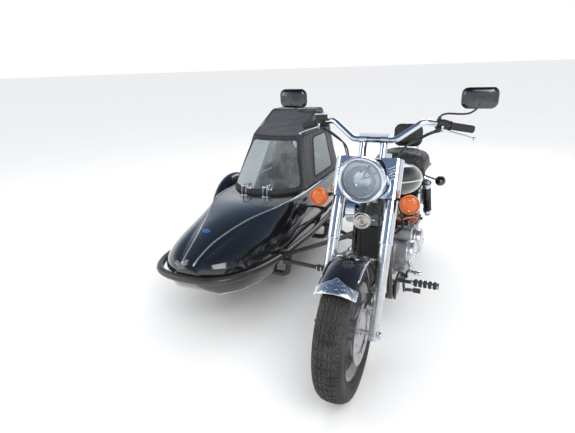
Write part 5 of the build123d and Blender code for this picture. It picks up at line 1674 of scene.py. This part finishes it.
# sidecar hood
hoodLook = {
    # above the deck: height, half width, corner y, centre y, rear y
    "levels": [(0, 279, 1120, 944, 1996), (361.7, 206, 1312, 1262, 1962), (517.7, 190, 1640, 1626, 1806)],
    "columns": (84, 104, 66), "rows": (46, 48), "capRows": 14, "roundOff": 26, "wall": 0.0022,
    "sag": 0.007, "fold": 0.0034, "crown": 0.005, "fade": 0.034, "middle": 1.6,
    "roofCentre": 1722, "capSmooth": 5, "screenTape": 0.022, "windowTape": 0.017, "lapTape": 0.013,
    # hinge pins: half their spacing, y and z; half the space between a pin's two ears
    "pins": (82, 916, 666), "ears": 0.0155,
}
hoodZones = {
    "screen": {"side": "front", "outline": [(-266, 24), (266, 24), (180, 340), (-180, 340)], "corner": 30},
    "windowLeft": {"side": "left", "outline": [(1384, 40), (1800, 40), (1790, 326), (1500, 326)], "corner": 34},
    "windowRight": {"side": "right", "outline": [(1384, 40), (1800, 40), (1790, 326), (1500, 326)], "corner": 34},
    "windowRear": {"side": "rear", "outline": [(-165, 135), (165, 135), (165, 305), (-165, 305)], "corner": 42},
}
# millimetres that part the hood's front, flanks and rear
hoodSides = {"frontEnd": 1470, "frontLean": (1350, 0.2), "rearStart": 1880, "flankStart": 150, "flankEnd": 1900}
hoodDeck = 0.6003


def roundCorners(outline, radius, steps=6):
    # a closed outline with each corner turned into an arc-like curve, and evenly divided sides
    curved = []
    count = len(outline)
    for k, corner in enumerate(outline):
        here = Vector(corner)
        before, after = Vector(outline[k - 1]), Vector(outline[(k + 1) % count])
        first = here + (before - here).normalized() * radius
        last = here + (after - here).normalized() * radius
        for step in range(steps + 1):
            t = step / steps
            curved.append(first * (1 - t) ** 2 + here * (2 * t * (1 - t)) + last * t * t)
    points = []
    for k, point in enumerate(curved):
        following = curved[(k + 1) % len(curved)]
        parts = max(1, int((following - point).length / 12))
        points += [point.lerp(following, part / parts) for part in range(parts)]
    return points


def hoodView(side, point):
    # a point seen square to one side of the hood, or nothing where it is on another side
    across, along, up = (point.x - chairCentre) * 1000, (point.y - axleY) * 1000, (point.z - hoodDeck) * 1000
    if side == "front":
        start, lean = hoodSides["frontLean"]
        seen = along < hoodSides["frontEnd"] and along < start + abs(across) * lean
        return Vector((across, up)) if seen else None
    if side == "rear":
        return Vector((across, up)) if along > hoodSides["rearStart"] else None
    out = across if side == "left" else -across
    seen = out > hoodSides["flankStart"] and along < hoodSides["flankEnd"]
    return Vector((along, up)) if seen else None


def hoodRay(side, spot):
    # the ray that looks at one side of the hood from outside
    u, v = spot.x / 1000, spot.y / 1000
    if side == "front":
        return Vector((chairCentre + u, axleY + 0.5, hoodDeck + v)), Vector((0, 1, 0))
    if side == "rear":
        return Vector((chairCentre + u, axleY + 2.6, hoodDeck + v)), Vector((0, -1, 0))
    out = 1 if side == "left" else -1
    return Vector((chairCentre + out * 0.8, axleY + u, hoodDeck + v)), Vector((-out, 0, 0))


def hoodMiddle(height):
    # a point within the hood, which its skin faces away from
    return Vector((chairCentre, axleY + hoodLook["middle"], height))


def hoodRows():
    # loops of points from the deck up over the roof
    look = hoodLook
    front, side, back = look["columns"]

    def loopAt(level):
        height, half, corner, centre, rear = level
        rise = corner - centre
        r = (half * half + rise * rise) / (2 * rise)
        reach = math.asin(half / r)
        loop = [(r * math.sin(a), centre + r - r * math.cos(a))
                for a in (reach * (2 * k / front - 1) for k in range(front))]
        loop += [(half, corner + (rear - corner) * k / side) for k in range(side)]
        loop += [(half - 2 * half * k / back, rear) for k in range(back)]
        loop += [(-half, rear + (corner - rear) * k / side) for k in range(side)]
        return [Vector((x, y, height)) for x, y in loop]

    levels = [loopAt(level) for level in look["levels"]]
    rows = []
    for band, count in enumerate(look["rows"]):
        for k in range(count):
            rows.append([a.lerp(b, k / count) for a, b in zip(levels[band], levels[band + 1])])
    rows.append(levels[2])
    for _ in range(look["roundOff"]):
        rows = [[(row[k - 1] + row[k] * 2 + row[(k + 1) % len(row)]) / 4 for k in range(len(row))] for row in rows]
    middle = Vector((0, look["roofCentre"], look["levels"][2][0]))
    for k in range(1, look["capRows"] + 1):
        share = k / look["capRows"] * 0.95
        rows.append([p.lerp(middle, share) + Vector((0, 0, look["crown"] * 1000 * (1 - (1 - share) ** 2)))
                     for p in rows[sum(look["rows"])]])
    for _ in range(look["capSmooth"]):
        inner = [[(a + b * 2 + c) / 4 for a, b, c in zip(*rows[i - 1:i + 2])] for i in range(1, len(rows) - 1)]
        rows = [rows[0]] + inner + [rows[-1]]
    return [[Vector((chairCentre + p.x / 1000, axleY + p.y / 1000, hoodDeck + p.z / 1000)) for p in row]
            for row in rows]


def makeHood():
    look = hoodLook
    rows = hoodRows()
    points, faces = grid(rows, closedCols=True)
    wide = len(rows[0])
    faces.append(tuple((len(rows) - 1) * wide + k for k in range(wide)))
    skin = BVHTree.FromPolygons(points, faces)
    outlines = {name: roundCorners(zone["outline"], zone["corner"]) for name, zone in hoodZones.items()}
    # each face belongs to the canvas or to one clear panel
    owner, touching = [], [set() for _ in points]
    for face in faces:
        middle = sum((points[k] for k in face), Vector()) / len(face)
        name = "canvas"
        for zone, settings in hoodZones.items():
            spot = hoodView(settings["side"], middle)
            if spot and insideOutline(outlines[zone], spot):
                name = zone
        owner.append(name)
        for k in face:
            touching[k].add(name)
    # the corners between two owners are set on the panel's outline
    for k, names in enumerate(touching):
        zone = next((n for n in names if n != "canvas"), None)
        if zone and len(names) > 1:
            side = hoodZones[zone]["side"]
            spot = hoodView(side, points[k])
            if spot is None:
                continue
            near = min(outlines[zone], key=lambda q: (q - spot).length)
            hit, _, _, _ = skin.ray_cast(*hoodRay(side, near))
            if hit and (hit - points[k]).length < 0.02:
                points[k] = hit
    edge = [points[k] for k, names in enumerate(touching) if len(names) > 1] + rows[0]
    reach = KDTree(len(edge))
    for k, p in enumerate(edge):
        reach.insert(p, k)
    reach.balance()
    # folds and sag on the canvas only
    whole = meshOf("hood", points, faces)
    moved = []
    eaves, roof = look["levels"][1][0] / 1000, look["levels"][2][0] / 1000
    for vertex in whole.vertices:
        p = vertex.co
        if "canvas" not in touching[vertex.index] or len(touching[vertex.index]) > 1:
            moved.append(p.copy())
            continue
        fade = min(1.0, reach.find(p)[2] / look["fade"])
        up = p.z - hoodDeck
        outward = sameWay(vertex.normal, p - hoodMiddle(hoodDeck + 0.2))
        share = up / eaves if up < eaves else (up - eaves) / (roof - eaves)
        hollow = look["sag"] * 4 * max(0.0, min(1.0, share)) * (1 - min(1.0, share)) * (0.5 if up < eaves else 1.0)
        if up < eaves:
            # upright folds beside the screen and along the foot
            around = p.y + p.x
            coarse, fine = Vector((around * 21, p.z * 3.1, 3)), Vector((around * 47, p.z * 6, 8))
            wave = noise.noise(coarse) + 0.5 * noise.noise(fine)
        else:
            # pulls that fan out from the bows
            coarse, fine = Vector((p.x * 16 + up * 14, p.y * 5, 1)), Vector((p.x * 9 - up * 30, p.y * 14, 5))
            wave = noise.noise(coarse) + 0.6 * noise.noise(fine)
        moved.append(p + outward * (fade * (wave * look["fold"] - hollow)))
    pieces = {}
    for name in ["canvas"] + list(hoodZones):
        chosen = [face for face, owned in zip(faces, owner) if owned == name]
        used = sorted({k for face in chosen for k in face})
        place = {k: n for n, k in enumerate(used)}
        mesh = meshOf(name, [moved[k] for k in used], [tuple(place[k] for k in face) for face in chosen])
        first = mesh.polygons[0]
        if first.normal.dot(first.center - hoodMiddle(hoodDeck + 0.2)) < 0:
            mesh.flip_normals()
        pieces[name] = mesh
    area = sum(face.area for face in pieces["canvas"].polygons)
    print(f"hood canvas area {area:.3f} m2")
    folds = applied("hoodCanvas", pieces["canvas"], ("SMOOTH", {"factor": 0.4, "iterations": 1}),
                    ("SOLIDIFY", {"thickness": look["wall"], "offset": -1}))
    canvas = addPiece("hoodCanvas", folds, "hood", "canvas", "canvas")
    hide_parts("hood_canvas")
    pane = applied("screenPane", pieces["screen"], ("SOLIDIFY", {"thickness": 0.003, "offset": -0.6}))
    screen = addPiece("screenPane", pane, "hood", "clear", "clear_screen")
    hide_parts("windscreen")
    panes = joined("hoodPanes", [pieces[name] for name in hoodZones if name != "screen"])
    panes = applied("hoodPanes", panes, ("SOLIDIFY", {"thickness": 0.0009, "offset": -0.5}))
    windows = addPiece("hoodPanes", panes, "hood", "vinyl", "clear_screen")
    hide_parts("hood_windows")
    return canvas, windows, skin, outlines, rows


def offsetLine(line, normals, across, lift):
    # a line moved sideways on its surface
    moved = []
    for k, point in enumerate(line):
        run = runAt(line, k)
        moved.append(point + run.cross(normals[k]).normalized() * across + normals[k] * lift)
    return moved


def hoodLine(skin, rays, lift):
    # where single rays meet the hood's skin
    line, normals = [], []
    for start, direction in rays:
        spot, normal = castLine(skin, [start], direction, lift)
        line += spot
        normals += normal
    return line, normals


def makeBindings(skin, outlines, rows):
    # tape round each panel, and lapped seams, all sewn
    binding, stitches = [], []
    for zone, settings in hoodZones.items():
        closed = outlines[zone] + outlines[zone][:1]
        line, normals = hoodLine(skin, [hoodRay(settings["side"], spot) for spot in closed], 0.0003)
        wide = hoodLook["screenTape" if zone == "screen" else "windowTape"]
        binding.append(sweptStrip("binding", line, normals, wide, 0.0026, ends=1.0))
        for across in (-wide * 0.36, wide * 0.36):
            stitches.append(offsetLine(line, normals, across, 0.0024))
    # lapped seams: over the screen's top, up the roof's corners, round the roof
    front, side, back = hoodLook["columns"]
    top, low = sum(hoodLook["rows"]), hoodLook["rows"][0]
    corners = [0, front, front + side, front + side + back]
    paths = [[rows[i][(c + 2) % len(rows[0])] for i in range(low + 2, top + 1, 2)] for c in corners]
    paths.append([rows[low][k % len(rows[0])] for k in range(0, len(rows[0]) + 1, 3)])
    paths.append([rows[top][k % len(rows[0])] for k in range(0, len(rows[0]) + 1, 3)])
    for path in paths:
        line, normals = [], []
        for point in path:
            hit, normal, _, _ = skin.find_nearest(point)
            line.append(hit)
            normals.append(sameWay(normal, point - hoodMiddle(hoodDeck + 0.15)))
        binding.append(sweptStrip("lap", line, normals, hoodLook["lapTape"], 0.0016, ends=1.0))
        for across in (-0.0042, 0.0042):
            stitches.append(offsetLine(line, normals, across, 0.0018))
    hem = addJoined("hoodBinding", binding, "hood", "canvasTape", "canvas")
    thread = stitchLine("hoodStitches", stitches, "hood", 0.009, "canvasTape", "canvas")


def makeScreenFoot(skin):
    # rubber along the screen's foot, and its two hinges
    line, normals = hoodLine(skin, [hoodRay("front", Vector((x, 15))) for x in range(-272, 273, 8)], 0.0)
    rubber = sweptStrip("screenRubber", line, normals, 0.026, 0.0062)
    addPiece("screenRubber", rubber, "hood", "gripRubber", "black_gloss")
    plates, bolts, posts, nuts = [], [], [], []
    spread, pinY, pinZ = hoodLook["pins"]
    for x in (-spread, spread):
        for dx in (-9, 9):
            starts = [hoodRay("front", Vector((x + dx, v)))[0] for v in (18, 34, 50, 62)]
            leaf, n = castLine(skin, starts, (0, 1, 0), 0.0008)
            plates.append(sweptStrip("leaf", leaf, n, 0.011, 0.0042))
            bolts += [(leaf[2] + n[2] * 0.0036, n[2])]
        # the arm from the pin to the leaf, on the hood
        barrel = onChair(x, pinY, pinZ)
        profile = [(-0.0105, 0), (-0.0105, 0.0088), (-0.0095, 0.0096), (0.0095, 0.0096), (0.0105, 0.0088),
                   (0.0105, 0)]
        plates.append(turned("barrel", profile, barrel, (1, 0, 0), 20))
        reach = castLine(skin, [hoodRay("front", Vector((x, 56)))[0]], (0, 1, 0))[0][0]
        plates.append(tubeMesh("arm", [barrel, barrel.lerp(reach, 0.5) + Vector((0, 0, 0.012)), reach], 0.0058, 10))
        halfPin = Vector((0.022, 0, 0))
        posts.append(tubeMesh("pin", [barrel - halfPin, barrel + halfPin], 0.0042, 10, 2))
        for end in (-hoodLook["ears"], hoodLook["ears"]):
            foot = onDeck(x + end * 1000, pinY)[0]
            tall = barrel.z - foot.z
            outline = [(-0.012, 0.0), (0.012, 0.0), (0.007, tall), (0.004, tall + 0.008), (-0.004, tall + 0.008),
                       (-0.007, tall)]
            posts.append(plate("ear", outline, foot + Vector((0.002, 0, -0.002)), (0, 1, 0), (0, 0, 1), 0.004,
                               0.0008))
        foot = onDeck(x, pinY)[0]
        posts.append(plate("base", roundedOutline(0.052, 0.034, 0.006), foot + Vector((0, 0, 0.0028)), (1, 0, 0),
                           (0, 1, 0), 0.006, 0.001))
        nuts += [(foot + Vector((dx, -0.011, 0.0028)), (0, 0, 1)) for dx in (-0.02, 0.02)]
    hinge = addJoined("hingePosts", posts, "rig", "chrome", "chrome", smooth=False)
    shadeByAngle(hinge)
    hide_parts("hinge_posts")
    fasteners("hingeNuts", nuts, "rig", 0.0045)
    leaves = addJoined("screenHinges", plates, "hood", "chrome", "chrome")
    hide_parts("hinge_arms")
    fasteners("hingeBolts", bolts, "hood", 0.0058)


def makeStudsAndBows(skin, rows):
    # press studs along the canvas's foot, and the bows inside it
    top, low = sum(hoodLook["rows"]), hoodLook["rows"][0]
    studs = []
    foot = rows[2]
    for k in range(hoodLook["columns"][0] + 8, len(foot) - 8, 11):
        hit, normal, _, _ = skin.find_nearest(foot[k])
        studs.append((hit, sameWay(normal, foot[k] - hoodMiddle(foot[k].z))))
    fasteners("pressStuds", studs, "hood", 0.0062, "dome", "oldChrome")
    bows = []
    for row in (low - 1, top - 2):
        ring = [rows[row][k % len(rows[0])] for k in range(0, len(rows[0]), 6)]
        centre = sum(ring, Vector()) / len(ring)
        inset = [p + (centre - p).normalized() * 0.016 - Vector((0, 0, 0.012)) for p in ring]
        bows.append(tubeMesh("bow", inset + inset[:3], 0.006, 8))
    addJoined("hoodBows", bows, "hood", "frameBlack", "black_paint")


hoodCanvas, hoodPanes, hoodSkin, hoodOutlines, hoodLoops = makeHood()
makeBindings(hoodSkin, hoodOutlines, hoodLoops)
makeScreenFoot(hoodSkin)
makeStudsAndBows(hoodSkin, hoodLoops)
print("hood made")


# engine, dampers, pegs and tank trim
engineLook = {
    "crankY": 705, "clutchY": 930, "height": 410, "lean": 26,
    # x, y and radius of the two round covers
    "covers": ((184, 705, 84), (194, 930, 74)),
    "hoses": (((88, 620, 560), (132, 590, 600), (140, 560, 660), (110, 540, 760)),
              ((60, 560, 300), (90, 520, 330), (100, 480, 420), (90, 450, 560))),
}


def ringSpots(x, y, z, radius, count, start, sweep):
    # bolt places on an arc, facing the left
    spots = []
    for k in range(count):
        angle = math.radians(start + sweep * k / (count - 1))
        spots.append((at(x, y + radius * math.cos(angle), z + radius * math.sin(angle)), (1, 0, 0)))
    return spots


def makeEngine():
    # covers with their bolts, plug leads and hoses
    domes, spots = [], []
    crankY, height = engineLook["crankY"], engineLook["height"]
    for x, y, radius in engineLook["covers"]:
        r = radius / 1000
        centre = at(x, y, height)
        domes.append(turned("dome",
                            [(-0.03, r + 0.0015), (-0.002, r + 0.0015), (0.001, r), (0.006, r * 0.93),
                             (0.0105, r * 0.74), (0.013, r * 0.5), (0.0135, r * 0.3), (0.0125, r * 0.27),
                             (0.0125, 0)], centre, (1, 0, 0), 72))
        domes.append(turned("plug",
                            [(0.012, 0.017), (0.0165, 0.0165), (0.0175, 0.015), (0.0175, 0.006), (0.0155, 0.005),
                             (0.0155, 0)], centre, (1, 0, 0), 6))
        domes.append(turned("flange",
                            [(-0.034, r + 0.009), (-0.0335, r + 0.0105), (-0.0265, r + 0.0105), (-0.026, r + 0.009),
                             (-0.026, r - 0.004)], centre, (1, 0, 0), 72))
        spots += ringSpots(x - 26, y, height, radius + 5.5, 6, 20, 300)
    spots += ringSpots(150, crankY, height, 99, 6, 75, 210)
    spots += ringSpots(150, engineLook["clutchY"], height, 87, 6, -105, 210)
    spots += [(at(150, y, z), (1, 0, 0)) for y in (780, 860) for z in (503, 316)]
    addJoined("engineCovers", domes, "rig", "polished", "cast_alloy")
    fasteners("engineBolts", spots, "rig", 0.0056, "dome", "oldChrome")
    # head bolts, plug leads and hoses
    heads, leads, hoses = [], [], []
    for lean in (-engineLook["lean"], engineLook["lean"]):
        up = Vector((0, math.sin(math.radians(lean)), math.cos(math.radians(lean))))
        along = Vector((0, up.z, -up.y))
        top = at(0, crankY, height) + up * 0.327
        for dx in (-0.05, 0, 0.05):
            for da in (-0.036, 0.036):
                heads.append((top + Vector((dx, 0, 0)) + along * da, up))
        side = at(76, crankY, height) + up * 0.285
        leads.append(tubeMesh("plugCap", [side, side + Vector((0.03, 0, 0.004)), side + Vector((0.042, 0, -0.012))],
                              0.0085, 10))
        end = side + Vector((0.044, 0, -0.014))
        coil = at(150, crankY + (24 if lean > 0 else -24), 606)
        path = [end, end + Vector((0.03, 0, 0.02)), coil + Vector((0.05, 0, 0.04)), coil + Vector((0.03, 0, 0.0)),
                coil]
        leads.append(tubeMesh("lead", path, 0.0042, 8))
    fasteners("headBolts", heads, "rig", 0.0075, "hex", "oldChrome")
    addJoined("plugLeads", leads, "rig", "orangeLead", "copper_plastic")
    for points in engineLook["hoses"]:
        hoses.append(tubeMesh("hose", [at(*p) for p in points], 0.0065, 8))
    addJoined("engineHoses", hoses, "rig", "gripRubber", "rubber")


damperLook = {"top": (0, 1400, 662), "foot": (0, 1616, 352), "x": 158, "turns": 9}


def inMetres(values):
    return [(a / 1000, b / 1000) for a, b in values]


def makeDampers():
    top, foot = Vector(damperLook["top"]), Vector(damperLook["foot"])
    bright, dark = [], []
    run = (foot - top).normalized()
    span = (foot - top).length / 1000
    for side in (-1, 1):
        start = at(top.x + side * damperLook["x"], top.y, top.z)
        bright.append(turned("cap",
                             inMetres([(8, 0), (8, 20), (12, 30), (20, 32.5), (46, 32.5), (48, 31), (48, 24)]),
                             start, run, 40))
        bright.append(turned("cup",
                             [(span - 0.068, 0.012), (span - 0.068, 0.03), (span - 0.064, 0.0315),
                              (span - 0.046, 0.0315), (span - 0.04, 0.022), (span - 0.036, 0.012), (span, 0.011),
                              (span, 0)], start, run, 36))
        for share in (0.0, span):
            spot = start + run * share
            bright.append(turned("eye",
                                 inMetres([(-16, 0), (-16, 15), (-14, 17), (14, 17), (16, 15), (16, 9), (21, 9),
                    (21, 0)]), spot, (side, 0, 0), 28))
        dark.append(turned("tube", [(0.046, 0), (0.046, 0.0205), (span - 0.064, 0.0205), (span - 0.064, 0)], start,
                           run, 28))
        out = run.orthogonal().normalized()
        other = run.cross(out)
        coils, turns = [], damperLook["turns"]
        for k in range(turns * 12 + 1):
            angle = 2 * math.pi * k / 12
            spoke = (out * math.cos(angle) + other * math.sin(angle)) * 0.0255
            coils.append(start + run * (0.051 + (span - 0.122) * k / (turns * 12)) + spoke)
        dark.append(tubeMesh("spring", coils, 0.0046, 8, resolution=3))
        # bright stay that runs behind the damper up to the lamp's stem
        bright.append(tubeMesh("stay",
                               [start + Vector((-side * 0.028, 0.0, 0.034)), start + Vector((0, 0, 0.02)), start],
                               0.0085, 10))
    cups = addJoined("damperCovers", bright, "rig", "chrome", "chrome")
    shadeByAngle(cups, 0.7)
    addJoined("damperSprings", dark, "rig", "glossBlack", "black_gloss")
    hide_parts("rear_dampers")


def makePegs():
    rings, bright = [], []
    for side in (-1, 1):
        base = at(side * 214, 540, 320)
        profile = [(0.002, 0.0)]
        for k in range(5):
            a = 0.004 + 0.0245 * k
            for step, radius in ((0, 0.0155), (0.001, 0.0195), (0.003, 0.0205), (0.0125, 0.0205), (0.0145, 0.0195),
                                 (0.0155, 0.0155)):
                profile.append((a + step, radius))
            if k < 4:
                profile += [(a + 0.0165, 0.0145), (a + 0.0235, 0.0145)]
        rings.append(turned("pegRings", profile + [(0.1185, 0.0)], base, (side, 0, 0), 36))
        for k in range(4):
            a = 0.0205 + 0.0245 * k
            bright.append(turned("band", [(a, 0.0146), (a, 0.0176), (a + 0.006, 0.0176), (a + 0.006, 0.0146)], base,
                                 (side, 0, 0), 28))
        bright.append(turned("pegEnd",
                             [(0.118, 0.0), (0.118, 0.0165), (0.1225, 0.0175), (0.127, 0.0165), (0.1285, 0.012),
                              (0.1285, 0.0)], base, (side, 0, 0), 28))
        bright.append(turned("pegRoot", [(-0.014, 0), (-0.014, 0.0145), (0.0, 0.016), (0.003, 0.0145), (0.003, 0)],
                             base, (side, 0, 0), 28))
        path = [(side * 152, 600, 300), (side * 166, 540, 276), (side * 178, 500, 276), (side * 188, 438, 328),
                (side * 214, 430, 334), (side * 262, 430, 334)]
        bright.append(tubeMesh("pedal", [at(*p) for p in path], 0.0084, 12))
        rings.append(turned("pedalRubber",
                            [(0, 0), (0, 0.0115), (0.002, 0.013), (0.01, 0.013), (0.012, 0.0118), (0.014, 0.013),
                             (0.022, 0.013), (0.024, 0.0118), (0.026, 0.013), (0.034, 0.013), (0.0365, 0.011),
                             (0.0365, 0)], at(side * 226, 430, 334), (side, 0, 0), 28))
    # the toe lever above the left footrest
    toe = [(166, 650, 384), (186, 572, 396), (194, 490, 412), (206, 474, 413), (256, 470, 413)]
    bright.append(tubeMesh("toe", [at(*p) for p in toe], 0.0078, 12))
    bright.append(turned("toeEnd",
                         [(0, 0), (0, 0.0105), (0.003, 0.0115), (0.036, 0.0115), (0.039, 0.0095), (0.039, 0)],
                         at(222, 470, 413), (1, 0, 0), 24))
    addJoined("pegRubbers", rings, "rig", "gripRubber", "rubber")
    metal = addJoined("pegMetal", bright, "rig", "chrome", "chrome")
    shadeByAngle(metal, 0.7)


def makeTankTrim():
    skin = skinOf("fuel_tank")
    strips = []
    for side in (-1, 1):
        starts = [at(side * 400, 512 + 470 * k / 40, 872 - 62 * (k / 40) ** 1.4) for k in range(41)]
        line, normals = castLine(skin, starts, (-side, 0, 0), 0.0)
        strips.append(sweptStrip("line", line, normals, 0.0085, 0.0028))
    addJoined("tankStrips", strips, "rig", "chrome", "chrome")
    # raised ribs on the nacelle's cheeks
    skin, ribs = skinOf("nacelle"), []
    for side in (-1, 1):
        for rise in (0, 15, 30):
            starts = [onFork(side * (66 + 62 * k / 12), -260, 690 + rise + 30 * k / 12) for k in range(13)]
            line, normals = castLine(skin, starts, forkBack, 0.0)
            flat = [(p, n) for p, n in zip(line, normals) if n.dot(-forkBack) > 0.5]
            if len(flat) > 3:
                ribs.append(sweptStrip("rib", [p for p, _ in flat], [n for _, n in flat], 0.0065, 0.0034))
    if ribs:
        addJoined("nacelleRibs", ribs, "steering", "chrome", "chrome")


makeEngine()
makeDampers()
makePegs()
makeTankTrim()
print("motorcycle dressed")


# floor, light and camera
stageLook = {
    "floor": (0.92, 0.92, 0.92), "floorHalf": 300, "world": 1.02,
    "backdrop": ((0.0, (1, 1, 1)), (0.2, (1, 1, 1)), (0.3, (0.6, 0.68, 0.8)), (0.55, (0.2, 0.28, 0.43)),
                 (1.0, (0.06, 0.1, 0.19))),
    # name, place, aim, power and size
    "lamps": (("key", (3.2, -3.4, 4.2), (0, 0, 0.5), 130.0, 3.0),
              ("fill", (-4.0, -2.6, 2.6), (-0.2, 0, 0.5), 45.0, 3.0),
              ("back", (0.5, 4.0, 3.6), (0, 0, 0.6), 55.0, 2.5)),
}


def makeStage():
    # pale floor, world and lamps
    half = stageLook["floorHalf"]
    corners = [(-half, -half, 0), (half, -half, 0), (half, half, 0), (-half, half, 0)]
    floor = looseObject("floor", meshOf("floor", corners, [(0, 1, 2, 3)]))
    f = Finish("floorPale")
    tone = f.noise(1.5, 4)
    f.shade(Base_Color=f.blendTones(tone, stageLook["floor"], tuple(c * 0.95 for c in stageLook["floor"])),
            Roughness=tone * 0.1 + 0.75)
    floor.data.materials.append(f.material)
    world = bpy.data.worlds.new("studio")
    bpy.context.scene.world = world
    world.use_nodes = True
    nodes, links = world.node_tree.nodes, world.node_tree.links
    nodes.clear()
    out = nodes.new("ShaderNodeOutputWorld")
    # one backdrop for eye, metal and glass: white at the horizon, darker overhead
    spot = nodes.new("ShaderNodeTexCoord")
    split = nodes.new("ShaderNodeSeparateXYZ")
    ramp = nodes.new("ShaderNodeValToRGB")
    while len(ramp.color_ramp.elements) < len(stageLook["backdrop"]):
        ramp.color_ramp.elements.new(0.5)
    for stop, (place, tone) in zip(list(ramp.color_ramp.elements), stageLook["backdrop"]):
        stop.position, stop.color = place, (*tone, 1)
    seen = nodes.new("ShaderNodeBackground")
    links.new(spot.outputs["Generated"], split.inputs[0])
    links.new(split.outputs[2], ramp.inputs[0])
    links.new(ramp.outputs[0], seen.inputs[0])
    lit = nodes.new("ShaderNodeBackground")
    lit.inputs[0].default_value = (0.98, 0.99, 1.0, 1)
    lit.inputs[1].default_value = stageLook["world"]
    path = nodes.new("ShaderNodeLightPath")
    rays = path.outputs["Is Camera Ray"]
    for kind in ("Is Glossy Ray", "Is Transmission Ray"):
        either = nodes.new("ShaderNodeMath")
        either.operation = "MAXIMUM"
        links.new(rays, either.inputs[0])
        links.new(path.outputs[kind], either.inputs[1])
        rays = either.outputs[0]
    pick = nodes.new("ShaderNodeMixShader")
    links.new(rays, pick.inputs[0])
    links.new(lit.outputs[0], pick.inputs[1])
    links.new(seen.outputs[0], pick.inputs[2])
    links.new(pick.outputs[0], out.inputs[0])
    for name, place, aim, power, size in stageLook["lamps"]:
        lamp = bpy.data.lights.new(name, "AREA")
        lamp.energy, lamp.size = power, size
        holder = bpy.data.objects.new(name, lamp)
        holder.location = place
        holder.rotation_euler = (Vector(aim) - Vector(place)).to_track_quat("-Z", "Y").to_euler()
        bpy.context.scene.collection.objects.link(holder)


cameraLook = {
    "azimuth": 24.35, "down": 19.27, "roll": -2.01, "place": (453.9, -1608.2, 1441.5),
    "focalPixels": 428.4, "pixelsWide": 575, "sensor": 36,
}


def makeCamera():
    turn, down, roll = (math.radians(cameraLook[k]) for k in ("azimuth", "down", "roll"))
    ahead = Vector((-math.sin(turn) * math.cos(down), math.cos(turn) * math.cos(down), -math.sin(down)))
    right = Vector((math.cos(turn), math.sin(turn), 0))
    up = right.cross(ahead)
    across = right * math.cos(roll) + up * math.sin(roll)
    upright = up * math.cos(roll) - right * math.sin(roll)
    lens = bpy.data.cameras.new("camera")
    lens.sensor_width = cameraLook["sensor"]
    lens.lens = cameraLook["focalPixels"] / cameraLook["pixelsWide"] * cameraLook["sensor"]
    camera = bpy.data.objects.new("camera", lens)
    camera.matrix_world = Matrix.Translation(at(*cameraLook["place"])) @ Matrix((across, upright,
            -ahead)).transposed().to_4x4()
    bpy.context.scene.collection.objects.link(camera)
    bpy.context.scene.camera = camera


makeStage()
makeCamera()
bpy.context.scene.view_settings.view_transform = "Standard"
for part in list(smallParts.values()):
    bpy.data.objects.remove(part)
print("stage, light and camera set")
